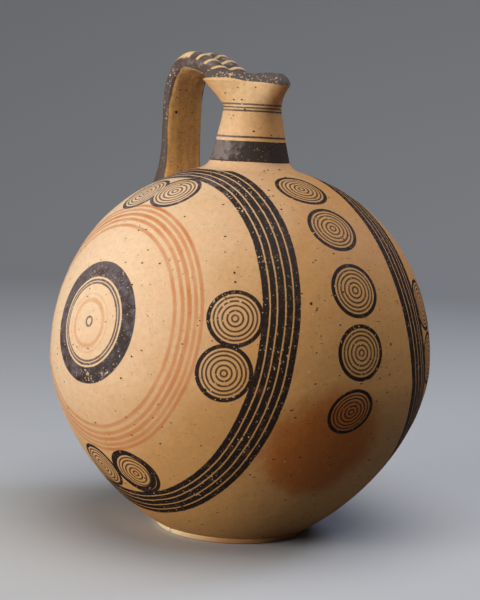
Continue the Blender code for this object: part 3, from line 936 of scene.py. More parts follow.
def bowl_tree() -> bpy.types.NodeTree:
    """A bowl of even wall, turned from a superellipse: one grid goes up its outside and back down
    its inside, and closes on itself.

    Returns:
        The tree, with its sizes in metres as named inputs.
    """
    tree = new_tree("thrown_bowl", (
        ("Geometry", "Geometry"), ("Radius", "Float"), ("Rise", "Float"), ("Fullness", "Float"),
        ("Wall", "Float"), ("Way", "Float"), ("Seam Height", "Float"), ("Reach Outside", "Float"),
        ("Reach Inside", "Float"), ("Floor Outside", "Float"), ("Floor Inside", "Float"),
        ("Corner", "Float"), ("Rings", "Float"), ("Sides", "Float"), ("Crowding", "Float"),
        ("Clay", "Material")))
    size = put(tree, "NodeGroupInput").node.outputs
    last = put(tree, MATH, (size["Rings"], 2.0), operation="MULTIPLY")
    across = put(tree, MATH, (size["Sides"], 1.0), operation="ADD")
    along = put(tree, MATH, (last, 1.0), operation="ADD")
    grid = put(tree, "GeometryNodeMeshGrid",
               {"Size X": 1.0, "Size Y": 1.0, "Vertices X": across, "Vertices Y": along})
    here = put(tree, "GeometryNodeInputPosition")
    sideways, upwards = put(tree, "ShaderNodeSeparateXYZ", (here,)).node.outputs[:2]
    turn = put(tree, MATH, (sideways, 0.5), operation="ADD")
    turn = put(tree, MATH, (turn, tau), operation="MULTIPLY")
    share = put(tree, MATH, (upwards, 0.5), operation="ADD")
    row = put(tree, MATH, (share, last), operation="MULTIPLY")
    row = put(tree, MATH, (row,), operation="ROUND")
    # Rows count up the outside, then back down the inside; the last row lies on the first.
    back = put(tree, MATH, (last, 1.0), operation="SUBTRACT")
    back = put(tree, MATH, (back, row), operation="SUBTRACT")
    back = put(tree, MATH, (back, 0.0), operation="MAXIMUM")
    step = put(tree, MATH, (row, back), operation="MINIMUM")
    top = put(tree, MATH, (size["Rings"], 1.0), operation="SUBTRACT")
    past_top = put(tree, MATH, (row, top), operation="GREATER_THAN")
    end = put(tree, MATH, (last, 0.5), operation="SUBTRACT")
    before_end = put(tree, MATH, (row, end), operation="LESS_THAN")
    inside = put(tree, MATH, (past_top, before_end), operation="MULTIPLY")
    # The angle from the seam's level, with the rows closer together near the seam.
    spaced = put(tree, MATH, (step, top), operation="DIVIDE")
    spaced = put(tree, MATH, (spaced, size["Crowding"]), operation="POWER")
    reach = put(tree, MIX, {0: inside, 2: size["Reach Outside"], 3: size["Reach Inside"]})
    angle = put(tree, MATH, (spaced, reach), operation="MULTIPLY")
    angle = put(tree, MATH, (angle, pi / 2), operation="MULTIPLY")
    sine = put(tree, MATH, (angle,), operation="SINE")
    cosine = put(tree, MATH, (angle,), operation="COSINE")
    cosine = put(tree, MATH, (cosine, 0.0), operation="MAXIMUM")
    # Each semi-axis, less the wall on the inside, times a power of the cosine or sine.
    inset = put(tree, MATH, (size["Wall"], inside), operation="MULTIPLY")
    power = put(tree, MATH, (2.0, size["Fullness"]), operation="DIVIDE")
    reached = []
    for name, wave in (("Radius", cosine), ("Rise", sine)):
        axis = put(tree, MATH, (size[name], inset), operation="SUBTRACT")
        bent = put(tree, MATH, (wave, power), operation="POWER")
        reached.append(put(tree, MATH, (axis, bent), operation="MULTIPLY"))
    radius, climb = reached
    limit = put(tree, MIX, {0: inside, 2: size["Floor Outside"], 3: size["Floor Inside"]})
    kept = put(tree, MATH, (climb, limit, size["Corner"]), operation="SMOOTH_MIN")
    height = put(tree, MATH, (kept, size["Way"], size["Seam Height"]), operation="MULTIPLY_ADD")
    turned_x = put(tree, MATH, (turn,), operation="COSINE")
    turned_y = put(tree, MATH, (turn,), operation="SINE")
    x = put(tree, MATH, (radius, turned_x), operation="MULTIPLY")
    y = put(tree, MATH, (radius, turned_y), operation="MULTIPLY")
    place = put(tree, "ShaderNodeCombineXYZ", (x, y, height))
    shell = put(tree, "GeometryNodeSetPosition", {"Geometry": grid, "Position": place})
    # The faces along the axis, between the outside's pole and the inside's, are cut away.
    flat = put(tree, VECTOR, (here, (1.0, 1.0, 0.0)), operation="MULTIPLY")
    off_axis = put(tree, VECTOR, (flat,), out="Value", operation="LENGTH")
    on_axis = put(tree, MATH, (off_axis, 1e-7), operation="LESS_THAN")
    open_shell = put(tree, "GeometryNodeDeleteGeometry", {"Geometry": shell, "Selection": on_axis},
                     domain="FACE")
    merged = put(tree, "GeometryNodeMergeByDistance", {"Geometry": open_shell, "Distance": 1e-6})
    real = put(tree, "GeometryNodeRealizeInstances", {"Geometry": merged})
    clad = put(tree, "GeometryNodeSetMaterial", {"Geometry": real, "Material": size["Clay"]})
    put(tree, "NodeGroupOutput", (clad,))
    return tree


@dataclass
class Jug:
    """What every piece of the jug shares: the hand's unevenness and the way it is handed over."""

    wobble: bpy.types.NodeTree
    # The depth and length of the slow drift, then of the dents, and the height above the ground
    # at which both reach their full depth.
    depth_mm: float = 0.35
    wavelength_mm: float = 70.0
    dent_mm: float = 0.22
    dent_width_mm: float = 13.0
    ground_mm: float = 30.0

    def hand_over(self, piece: bpy.types.Object, node: str, clay: bpy.types.Material,
                  crease: float = 38.0) -> bpy.types.Object:
        """Gives a piece the wobble and its clay, makes it real and puts it in its node's place.

        Args:
            piece: The object.
            node: The CAD node that it stands for.
            clay: Its material.
            crease: Angle in degrees past which an edge stays sharp.

        Returns:
            The same object.
        """
        give(piece, self.wobble, {
            "Depth": self.depth_mm * MM, "Wavelength": self.wavelength_mm * MM,
            "Dent Depth": self.dent_mm * MM, "Dent Width": self.dent_width_mm * MM,
            "Ground": self.ground_mm * MM, "Clay": clay})
        settle(piece, crease)
        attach(piece, "root")
        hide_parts(node)
        return piece


@dataclass
class ThrownBowl:
    """One bowl of the body."""

    half: Half
    # How softly the wall turns into the base.
    corner: float = 1.0
    rings: int = 84
    sides: int = 288
    # Above 1, the rows crowd towards the seam.
    crowding: float = 1.4

    def build(self, jug: Jug, tree: bpy.types.NodeTree,
              clay: bpy.types.Material) -> bpy.types.Object:
        """Builds the bowl in place of its CAD node.

        Args:
            jug: What the pieces share.
            tree: The bowl's Geometry Nodes tree.
            clay: Its material.

        Returns:
            The piece.
        """
        upper = self.half is Half.UPPER
        power = BODY.dome_fullness if upper else BODY.bowl_fullness
        # The shares of a quarter turn at which the outside and the inside meet the opening.
        outer = acos((BODY.opening / BODY.radius) ** (power / 2)) / (pi / 2)
        inner = acos((BODY.opening / (BODY.radius - BODY.wall)) ** (power / 2)) / (pi / 2)
        name = "thrown_upper_bowl" if upper else "thrown_lower_bowl"
        # The tree makes its own mesh, so this one is only there to carry it. The upper bowl has
        # no floor, so its floor is set a metre away, out of reach.
        piece = mesh_piece(name, turned([(1, 0), (1, 1), (2, 1)], 3))
        give(piece, tree, {
            "Radius": BODY.radius * MM, "Rise": (BODY.rise if upper else BODY.depth) * MM,
            "Fullness": power, "Wall": BODY.wall * MM, "Way": float(self.half.value),
            "Seam Height": BODY.seam * MM, "Reach Outside": outer if upper else 1.0,
            "Reach Inside": inner if upper else 1.0,
            "Floor Outside": 1.0 if upper else (BODY.seam - BODY.underside) * MM,
            "Floor Inside": 1.0 if upper else (BODY.seam - BODY.floor) * MM,
            "Corner": self.corner * MM, "Rings": float(self.rings), "Sides": float(self.sides),
            "Crowding": self.crowding, "Clay": clay})
        return jug.hand_over(piece, "upper_bowl" if upper else "lower_bowl", clay)


@dataclass
class FootRing:
    """The turned ring that the jug stands on."""

    radius: float = 47.4
    width: float = 10.5
    height: float = 3.8
    edge: float = 1.9
    bulge: float = 0.35
    # How far its top is pressed into the base, and how far in from the edge.
    pressed: float = 0.3
    pressed_from: float = 3.0
    sides: int = 240
    inner_steps: int = 5
    outer_steps: int = 6

    def build(self, jug: Jug, clay: bpy.types.Material) -> bpy.types.Object:
        """Builds the ring in place of its CAD node.

        Args:
            jug: What the pieces share.
            clay: Its material.

        Returns:
            The piece.
        """
        inner, top = self.radius - self.width, self.height + self.pressed
        profile: Profile = [(self.radius - self.pressed_from, top), (inner, top),
                            (inner, self.edge)]
        for turn in steps(self.inner_steps)[1:]:
            a = turn * pi / 2
            profile.append((inner + self.edge * (1 - cos(a)), self.edge * (1 - sin(a))))
        profile.append(((inner + self.radius) / 2, 0.0))
        for turn in steps(self.outer_steps):
            a = turn * pi / 2
            profile.append((self.radius - self.edge * (1 - sin(a)), self.edge * (1 - cos(a))))
        side = self.height - self.edge
        profile += [(self.radius + self.bulge * sin(pi * s), self.edge + side * s)
                    for s in steps(self.outer_steps)[1:]]
        piece = mesh_piece("turned_foot_ring", turned(profile, self.sides))
        return jug.hand_over(piece, "foot_ring", clay, crease=50.0)


@dataclass
class NeckAndMouth:
    """The conical neck, its collar and the pinched mouth, with bearings from the spout."""

    # The gap between one piece and the next.
    gap: float = 0.3
    foot_radius: float = 25.7
    neck_height: float = 36.1
    waist_radius: float = 17.65
    hollow: float = 0.5
    wall: float = 4.8
    # The neck's seat in the shoulder, and its spigot through the body's opening.
    seat: float = 1.5
    spigot: float = 6.5
    spigot_radius: float = 19.6
    bore_radius: float = 15.5
    # The collar: its size, how far it stands proud at its two edges and is sunk behind them.
    collar_reach: float = 6.2
    collar_climb: float = 4.6
    collar_tension: float = 0.62
    collar_proud: float = 0.02
    collar_sunk: float = 0.8
    collar_back: float = 1.2
    # The flare, and the lip that leans in over it and rolls over at its edge.
    flare_height: float = 15.7
    flare_curve: float = 1.25
    lip_height: float = 6.2
    lip_slope: float = 6.0
    lip_fullness: float = 1.6
    lip_edge: float = 1.4
    lip_roll: float = 0.5
    mouth_wall: float = 4.6
    mouth_thickening: float = 2.4
    channel_start: float = 1.0
    # The rim's outline: a round throat drawn out into a spout and two side lobes.
    throat: float = 18.2
    spout_reach: float = 10.9
    spout_spread: float = radians(33)
    lobe_reach: float = 12.8
    lobe_bearing: float = radians(125)
    lobe_spread: float = radians(40)
    lobe_back_spread: float = radians(49)
    # The rim's height: a lower spout, lifted lobes, pinches beside the spout, and a saddle that
    # takes the strap. The flare meets the lip lower under the spout.
    spout_drop: float = 0.5
    spout_undercut: float = 1.4
    lobe_lift: float = 0.6
    pinch_drop: float = 1.2
    pinch_bearing: float = radians(52)
    pinch_spread: float = radians(16)
    saddle_depth: float = 4.2
    saddle_half: float = 16.1
    # The paint's lower edge on the lip, how far it drops at pinches, spout and lobes, and over
    # how many times the spread of a pinch or lobe.
    paint_edge: float = 279.0
    paint_pinch_drop: float = 1.3
    paint_pinch_width: float = 1.4
    paint_spout_drop: float = 2.9
    paint_lobe_drop: float = 1.0
    paint_lobe_width: float = 0.5
    # How finely each stretch is drawn.
    sides: int = 288
    neck_steps: int = 60
    collar_steps: int = 24
    flare_steps: int = 36
    lip_steps: int = 22
    edge_steps: int = 8
    inside_steps: int = 30

    @property
    def foot_height(self) -> float:
        """Height of the neck's foot on the shoulder."""
        return BODY.top(self.foot_radius) + self.gap

    @property
    def waist_height(self) -> float:
        """Height where the neck ends and the mouth starts, in the middle of their gap."""
        return self.foot_height + self.neck_height + self.gap / 2

    @property
    def flare_rim(self) -> float:
        """Height where the flare meets the lip, before the spout's undercut."""
        return self.waist_height + self.gap / 2 + self.flare_height

    @property
    def rim(self) -> float:
        """Height of the rim before its lobes and pinches."""
        return self.flare_rim + self.lip_height

    def neck_radius(self, height: float) -> float:
        """Outer radius of the neck.

        Args:
            height: Height above the ground.

        Returns:
            The radius, which stays as it is below the foot and above the waist.
        """
        climb = (height - self.foot_height) / (self.waist_height - self.foot_height)
        climb = min(max(climb, 0.0), 1.0)
        straight = self.foot_radius + (self.waist_radius - self.foot_radius) * climb
        return straight - self.hollow * sin(pi * climb)

    def lobe(self, angle: float, bearing: float, spread: float) -> float:
        """A smooth bump of height 1 centred on a bearing."""
        away = (angle - bearing + pi) % tau - pi
        return exp(-(away / spread) ** 2)

    def both(self, angle: float, bearing: float, spread: float) -> float:
        """The bump on each side of the mouth."""
        return self.lobe(angle, bearing, spread) + self.lobe(angle, -bearing, spread)

    def ears(self, angle: float) -> float:
        """The two side lobes of the rim's outline, fuller towards the handle than the spout.

        Args:
            angle: Angle from the spout.

        Returns:
            Their share of a lobe's reach, which is 1 at a lobe's middle.
        """
        total = 0.0
        for bearing in (self.lobe_bearing, -self.lobe_bearing):
            away = (angle - bearing + pi) % tau - pi
            ahead = away * bearing < 0
            spread = self.lobe_spread if ahead else self.lobe_back_spread
            total += self.lobe(angle, bearing, spread)
        return total

    def reach(self, angle: float) -> float:
        """Radius of the rim's outline at an angle from the spout."""
        return (self.throat + self.spout_reach * self.lobe(angle, 0.0, self.spout_spread)
                + self.lobe_reach * self.ears(angle))

    def saddle(self, angle: float) -> float:
        """How far the rim is lowered to take the strap, from 0 to 1."""
        spread = asin(min(self.saddle_half / self.reach(pi), 1.0))
        return exp(-((angle % tau - pi) / spread) ** 4)

    def crest(self, angle: float) -> float:
        """Height of the rim.

        Args:
            angle: Angle from the spout.

        Returns:
            The height, lowered in the strap's saddle.
        """
        lift = (self.lobe_lift * self.both(angle, self.lobe_bearing, self.lobe_spread)
                - self.pinch_drop * self.both(angle, self.pinch_bearing, self.pinch_spread)
                - self.spout_drop * self.lobe(angle, 0.0, self.spout_spread))
        saddle = self.saddle(angle)
        return self.rim + lift * (1 - saddle) - self.saddle_depth * saddle

    def flare_top(self, angle: float) -> float:
        """Height where the flare meets the lip."""
        undercut = self.spout_undercut * self.lobe(angle, 0.0, self.spout_spread)
        return self.flare_rim - undercut

    def ring(self, flare: float, height_at: Callable[[float], float],
             inset: float) -> list[Vector]:
        """A ring round the mouth: the waist's circle opened towards the rim's outline.

        Args:
            flare: 0 at the waist's circle, 1 at the rim's outline.
            height_at: Height at an angle from the spout.
            inset: Distance inwards, square to the outline.

        Returns:
            The ring's points.
        """
        outline = []
        for k in range(self.sides):
            angle = tau * k / self.sides
            radius = self.waist_radius + (self.reach(angle) - self.waist_radius) * flare
            outline.append(Vector((radius * cos(angle), radius * sin(angle))))
        points = []
        for k, point in enumerate(outline):
            ahead = outline[(k + 1) % self.sides] - outline[k - 1]
            place = point + Vector((-ahead.y, ahead.x)).normalized() * inset
            points.append(Vector((place.x, place.y, height_at(tau * k / self.sides))))
        return points

    def flare_ring(self, share: float, inset: float) -> list[Vector]:
        """A ring part of the way up the flare.

        Args:
            share: 0 at the waist, 1 at the lip.
            inset: Distance inwards, square to the outline.

        Returns:
            The ring's points.
        """
        low = self.waist_height

        def height_at(angle: float) -> float:
            """Height of the flare at an angle."""
            return low + (self.flare_top(angle) - low) * share

        return self.ring(share ** self.flare_curve, height_at, inset)

    def lip_ring(self, climb: float, inset: float) -> list[Vector]:
        """A ring part of the way up the lip.

        Args:
            climb: 0 at the flare's top, 1 at the rim.
            inset: Distance inwards, square to the outline.

        Returns:
            The ring's points.
        """

        def height_at(angle: float) -> float:
            """Height of the lip at an angle."""
            return self.flare_top(angle) + (self.crest(angle) - self.flare_top(angle)) * climb

        return self.ring(1.0, height_at, inset)

    def build_neck(self, jug: Jug, clay: bpy.types.Material) -> bpy.types.Object:
        """Builds the neck in place of its CAD node.

        Args:
            jug: What the pieces share.
            clay: Its material.

        Returns:
            The piece.
        """
        shares = steps(self.neck_steps)
        low = self.foot_height - self.seat
        heights = [low + (self.waist_height - low) * s for s in shares]
        outside: Profile = [(self.neck_radius(z), z) for z in heights]
        narrowing = self.waist_radius - self.wall - self.bore_radius
        inside: Profile = [(self.bore_radius + narrowing * s, z) for s, z in zip(shares, heights)]
        bottom = BODY.top(BODY.opening) - self.spigot
        spigot: Profile = [(self.bore_radius, bottom), (self.spigot_radius, bottom),
                           (self.spigot_radius, low)]
        piece = mesh_piece("thrown_neck", turned(spigot + outside + inside[::-1], self.sides))
        return jug.hand_over(piece, "neck", clay)

    def build_collar(self, jug: Jug, clay: bpy.types.Material) -> bpy.types.Object:
        """Builds the smoothed fillet between neck and shoulder in place of its CAD node.

        Args:
            jug: What the pieces share.
            clay: Its material.

        Returns:
            The piece.
        """
        edge = self.foot_radius + self.collar_reach
        start = Vector((edge, BODY.top(edge) + self.collar_proud))
        top = self.foot_height + self.collar_climb
        end = Vector((self.neck_radius(top) + self.collar_proud, top))
        inwards = Vector((-1.0, -BODY.top_slope(edge))).normalized()
        lean = self.neck_radius(top - 0.5) - self.neck_radius(top + 0.5)
        down = Vector((lean, -1.0)).normalized()
        curve = interpolate_bezier(
            start, start + inwards * self.collar_reach * self.collar_tension,
            end + down * self.collar_climb * self.collar_tension, end, self.collar_steps)
        profile: Profile = [(p.x, p.y) for p in curve]
        profile += [(self.neck_radius(top) - self.collar_sunk, top),
                    (self.foot_radius - self.collar_back, self.foot_height - self.collar_back),
                    (edge, BODY.top(edge) - self.collar_sunk)]
        piece = mesh_piece("smoothed_collar", turned(profile, self.sides))
        return jug.hand_over(piece, "neck_collar", clay)

    def build_mouth(self, jug: Jug, clay: bpy.types.Material) -> bpy.types.Object:
        """Builds the pinched mouth in place of its CAD node, with the paint's edge as an attribute.

        Args:
            jug: What the pieces share.
            clay: Its material.

        Returns:
            The piece.
        """
        rings = [self.flare_ring(s, 0.0) for s in steps(self.flare_steps)]
        for s in steps(self.lip_steps)[1:]:
            turn = s * pi / 2
            lean = 1 - abs(cos(turn)) ** (2 / self.lip_fullness)
            climb = sin(turn) ** (2 / self.lip_fullness)
            rings.append(self.lip_ring(climb, self.lip_slope * lean))
        for s in steps(self.edge_steps)[1:]:
            turn = s * pi / 2
            climb = 1.0 - self.lip_roll * (1 - cos(turn))
            rings.append(self.lip_ring(climb, self.lip_slope + self.lip_edge * sin(turn)))
        channel = self.waist_radius - self.wall
        inner = [self.flare_ring(s, self.mouth_wall + self.mouth_thickening * s ** 2)
                 for s in steps(self.inside_steps)[::-1]]
        inner = [ring for ring in inner if ring[0].z > self.waist_height + self.channel_start]
        rings += inner + turned([(channel, self.waist_height)], self.sides)
        piece = mesh_piece("pinched_mouth", rings)
        self.mark_paint(piece)
        return jug.hand_over(piece, "mouth", clay)

    def mark_paint(self, piece: bpy.types.Object) -> None:
        """Stores how far each point is above the lower edge of the lip's paint, in millimetres.

        Args:
            piece: The mouth, which gets the attribute lip_paint.
        """
        mesh = piece.data
        marks = mesh.attributes.new("lip_paint", "FLOAT", "POINT")
        for vertex, mark in zip(mesh.vertices, marks.data):
            x, y, z = vertex.co / MM
            angle = Vector((x, y)).angle_signed(Vector((1, 0)), 0.0)
            pinched = self.both(angle, self.pinch_bearing,
                                self.pinch_spread * self.paint_pinch_width)
            spouted = self.lobe(angle, 0.0, self.spout_spread)
            lobed = self.both(angle, self.lobe_bearing, self.lobe_spread * self.paint_lobe_width)
            mark.value = (z - self.paint_edge + self.paint_pinch_drop * pinched
                          + self.paint_spout_drop * spouted + self.paint_lobe_drop * lobed)


# Painted bars across the arch, in millimetres along the strap from inside the shoulder

BAR_PITCH = 8.4
BARS = tuple(Stripe(105.8 + BAR_PITCH * k, 112.1 + BAR_PITCH * k) for k in range(4))


@dataclass
class StrapHandle:
    """The pulled strap from the shoulder, over an arch and down on the rim's back."""

    width: float = 28.6
    thickness: float = 9.0
    distance: float = 70.8
    edge_power: float = 4.0
    # The two rolls along the arch: their height, how deep they lie in the strap, how round they
    # are, and over what stretch and what share of the thickness they rise.
    roll_height: float = 3.2
    roll_sink: float = 2.3
    roll_fullness: float = 0.7
    roll_span: float = 38.0
    roll_ease: float = 0.5
    # The finger marks under the bars, and the run over which they set in.
    notch_depth: float = 0.7
    notch_onset: float = 4.0
    # The middle line: up from the shoulder, round the arch, and down onto the rim.
    crown_height: float = 289.36
    crown_inset: float = 18.8
    arch_depth: float = 27.4
    arch_thickening: float = 2.0
    arch_tension: float = 0.61
    fall_tension: float = 0.50
    end: tuple[float, float] = (21.5, 279.66)
    end_thinning: float = 1.8
    # The rounded end: what each ring loses in size, and its share of the nose.
    nose: float = 1.0
    nose_rings: tuple[tuple[float, float], ...] = ((0.35, 0.45), (0.9, 0.85), (2.0, 1.0))
    root_flare: float = 4.0
    root_flare_height: float = 14.0
    # How finely the section and each stretch of the middle line are drawn.
    section_points: int = 96
    rise_steps: int = 90
    arch_steps: int = 60
    fall_steps: int = 50

    @property
    def crown(self) -> Vector:
        """The highest place of the middle line."""
        return Vector((self.distance - self.crown_inset, self.crown_height))

    def path(self) -> list[Vector]:
        """The strap's middle line.

        Returns:
            Its points as (distance from the axis, height), from inside the shoulder.
        """
        spring = Vector((self.distance, self.crown_height - self.arch_depth))
        end = Vector(self.end)
        foot = Vector((self.distance, BODY.top(self.distance) - self.thickness))
        corner = Vector((self.distance, self.crown.y))
        fall = Vector(((self.crown.x + end.x) / 2, self.crown.y))
        rise = [foot.lerp(spring, s) for s in steps(self.rise_steps)[:-1]]
        over = interpolate_bezier(spring, spring.lerp(corner, self.arch_tension),
                                  self.crown.lerp(corner, self.arch_tension), self.crown,
                                  self.arch_steps)
        down = interpolate_bezier(self.crown, self.crown.lerp(fall, self.fall_tension),
                                  end.lerp(fall, self.fall_tension), end, self.fall_steps)
        return rise + [Vector(p[:2]) for p in over[:-1]] + [Vector(p[:2]) for p in down]

    def section(self) -> list[tuple[float, float]]:
        """The strap's rounded section.

        Returns:
            Points round it as shares of the half width and half thickness.
        """
        points = []
        for k in range(self.section_points):
            turn = tau * k / self.section_points
            across = abs(cos(turn)) ** (2 / self.edge_power) * (1 if cos(turn) > 0 else -1)
            outwards = abs(sin(turn)) ** (2 / self.edge_power) * (1 if sin(turn) > 0 else -1)
            points.append((across, outwards))
        return points

    def roll(self, across: float, run: float, arch: float) -> float:
        """Height of the two rolls along the outer face, pressed in under each painted bar.

        Args:
            across: Share of the half width.
            run: Millimetres along the strap.
            arch: 1 at the crown, falling to 0 away from it.

        Returns:
            The height above the plain strap.
        """
        height = self.roll_height * abs(sin(pi * across)) ** self.roll_fullness - self.roll_sink
        ahead = (run - BARS[0].start + self.notch_onset / 2) / self.notch_onset
        middle = (BARS[0].start + BARS[0].end) / 2
        wave = cos(tau * (run - middle) / BAR_PITCH)
        press = self.notch_depth * min(max(ahead, 0.0), 1.0) * wave
        return (height - press) * arch

    def build(self, jug: Jug, clay: bpy.types.Material) -> bpy.types.Object:
        """Builds the strap in place of its CAD node, with its own coordinates as an attribute.

        Args:
            jug: What the pieces share.
            clay: Its material.

        Returns:
            The piece.
        """
        path = self.path()
        rings: list[list[Vector]] = []
        marks: list[tuple[float, float, float]] = []
        run = 0.0
        for k, point in enumerate(path):
            run += (point - path[max(k - 1, 0)]).length
            along = (path[min(k + 1, len(path) - 1)] - path[max(k - 1, 0)]).normalized()
            above = max(point.y - BODY.top(self.distance), 0.0) / self.root_flare_height
            flare = 2 * self.root_flare * exp(-above ** 2)
            arch = exp(-((point - self.crown).length / self.width) ** 2)
            past = max(self.crown.x - point.x, 0.0) / (self.crown.x - self.end[0])
            width = self.width + flare
            thickness = (self.thickness + flare + self.arch_thickening * arch
                         - self.end_thinning * past ** 2)
            rolled = exp(-((point - self.crown).length / self.roll_span) ** 2)
            self.add_ring(rings, marks, point, along, (width, thickness, rolled), run)
        for loss, share in self.nose_rings:
            point = path[-1] + along * self.nose * share
            size = (width - loss, thickness - loss, rolled)
            self.add_ring(rings, marks, point, along, size, run + share)
        piece = mesh_piece("pulled_strap", rings, Ends.CAPPED)
        store = piece.data.attributes.new("strap", "FLOAT_VECTOR", "POINT")
        for mark, value in zip(store.data, marks):
            mark.vector = value
        return jug.hand_over(piece, "strap_handle", clay, crease=55.0)

    def add_ring(self, rings: list[list[Vector]], marks: list[tuple[float, float, float]],
                 point: Vector, along: Vector, size: tuple[float, float, float],
                 run: float) -> None:
        """Adds the strap's section at one place of its middle line.

        Args:
            rings: Where the ring goes.
            marks: Where each point's own coordinates go: across and outwards as shares of the
                half width and half thickness, and millimetres along the strap.
            point: The place on the middle line.
            along: The strap's direction there.
            size: Width, thickness and share of the rolls' height.
            run: Millimetres along the strap.
        """
        outward = Vector((along.y, -along.x))
        width, thickness, rolled = size
        ring = []
        for across, out in self.section():
            lift = out * thickness / 2
            if out > 0:
                lift += self.roll(across, run, rolled) * min(out / self.roll_ease, 1.0)
            x, z = point.x + outward.x * lift, point.y + outward.y * lift
            ring.append(Vector((-x, across * width / 2, z)))
            marks.append((across, out, run))
        rings.append(ring)


@dataclass(frozen=True)
class StrapPainting:
    """Black edges down both sides of the strap, and a barred arch."""

    # Where the side paint starts, as a share of the half width, and between which shares of the
    # half thickness it gives way to the bare outer face.
    side_start: float = 0.93
    soft: float = 0.02
    sway: float = 0.035
    outer_fade: tuple[float, float] = (0.6, 0.74)
    outer_sway: float = 0.06
    # Where the strap turns into the arch, the side paint laps further over both edges.
    lap_start: float = 0.86
    lap_drop: float = 0.14
    lap_run: float = 82.0
    lap_reach: float = 17.0
    lap_core: float = 0.6
    # The bars, in millimetres along the strap, and where on its outer face they start.
    bar_soft: float = 0.3
    bar_sway: float = 0.6
    bar_fade: tuple[float, float] = (0.1, 0.3)

    def cover(self, tree: bpy.types.NodeTree, place: Socket, sway: Socket) -> Covers:
        """Cover of black on the strap.

        Args:
            tree: The material's tree.
            place: Object coordinates in millimetres; not used.
            sway: A slow drift of the hand, from -1 to 1.

        Returns:
            The cover of black.
        """
        own = put(tree, "ShaderNodeAttribute", out="Vector", attribute_name="strap")
        parts = put(tree, "ShaderNodeSeparateXYZ", (own,)).node.outputs
        aside = put(tree, MATH, (parts[0],), operation="ABSOLUTE")
        drift = put(tree, MATH, (sway, self.sway, aside), operation="MULTIPLY_ADD")
        apart = put(tree, MATH, (parts[2], self.lap_run), operation="SUBTRACT")
        far = put(tree, MATH, (apart,), operation="ABSOLUTE")
        lap = put(tree, RANGE, (far, self.lap_reach, self.lap_core * self.lap_reach, 0.0, 1.0))
        start = put(tree, MATH, (lap, self.lap_start - self.side_start, self.side_start),
                    operation="MULTIPLY_ADD")
        past = put(tree, MATH, (drift, start), operation="SUBTRACT")
        side = put(tree, RANGE, (past, -self.soft, self.soft, 0.0, 1.0))
        height = put(tree, MATH, (lap, -self.lap_drop, parts[1]), operation="MULTIPLY_ADD")
        height = put(tree, MATH, (sway, self.outer_sway, height), operation="MULTIPLY_ADD")
        outer = put(tree, RANGE, (height, *self.outer_fade, 1.0, 0.0))
        sides = put(tree, MATH, (side, outer), operation="MULTIPLY")
        run = put(tree, MATH, (sway, self.bar_sway, parts[2]), operation="MULTIPLY_ADD")
        bars = stripe_cover(tree, run, BARS, self.bar_soft)
        on_top = put(tree, RANGE, (parts[1], *self.bar_fade, 0.0, 1.0))
        barred = put(tree, MATH, (bars, on_top), operation="MULTIPLY")
        return {Pigment.BLACK: strongest(tree, [sides, barred])}


# Studio


@dataclass
class Camera:
    """The photograph's viewpoint, fitted to the jug's outline, bands and targets."""

    place: tuple[float, float, float] = (0.7221, -0.6059, 0.2546)
    forward: tuple[float, float, float] = (-0.7618, 0.6370, -0.1177)
    roll: float = radians(2.95)
    lens_mm: float = 91.46
    sensor_mm: float = 36.0

    def build(self) -> None:
        """Makes the scene's camera."""
        data = bpy.data.cameras.new("camera")
        data.sensor_fit = "AUTO"
        data.sensor_width = self.sensor_mm
        data.lens = self.lens_mm
        camera = bpy.data.objects.new("camera", data)
        ahead = Vector(self.forward).normalized()
        right = ahead.cross(Vector((0, 0, 1))).normalized()
        up = right.cross(ahead)
        tilted_right = right * cos(self.roll) + up * sin(self.roll)
        tilted_up = up * cos(self.roll) - right * sin(self.roll)
        turn = Matrix((tilted_right, tilted_up, -ahead)).transposed().to_4x4()
        camera.matrix_world = Matrix.Translation(self.place) @ turn
        bpy.context.scene.collection.objects.link(camera)
        bpy.context.scene.camera = camera


@dataclass
class Lamp:
    """A soft box aimed at the jug."""

    name: str
    azimuth: float
    elevation: float
    distance: float
    size: float
    watts: float
    spread: float = 180.0
    colour: str = "#FFFFFF"
    aim_height: float = 0.15

    def build(self) -> None:
        """Makes the lamp."""
        data = bpy.data.lights.new(self.name, "AREA")
        data.spread = radians(self.spread)
        data.shape = "DISK"
        data.size = self.size
        data.energy = self.watts
        data.color = linear(self.colour)[:3]
        lamp = bpy.data.objects.new(self.name, data)
        towards = direction(self.azimuth, self.elevation)
        lamp.location = Vector((0, 0, self.aim_height)) + towards * self.distance
        lamp.rotation_euler = towards.to_track_quat("Z", "Y").to_euler()
        lamp.visible_camera = False
        bpy.context.scene.collection.objects.link(lamp)


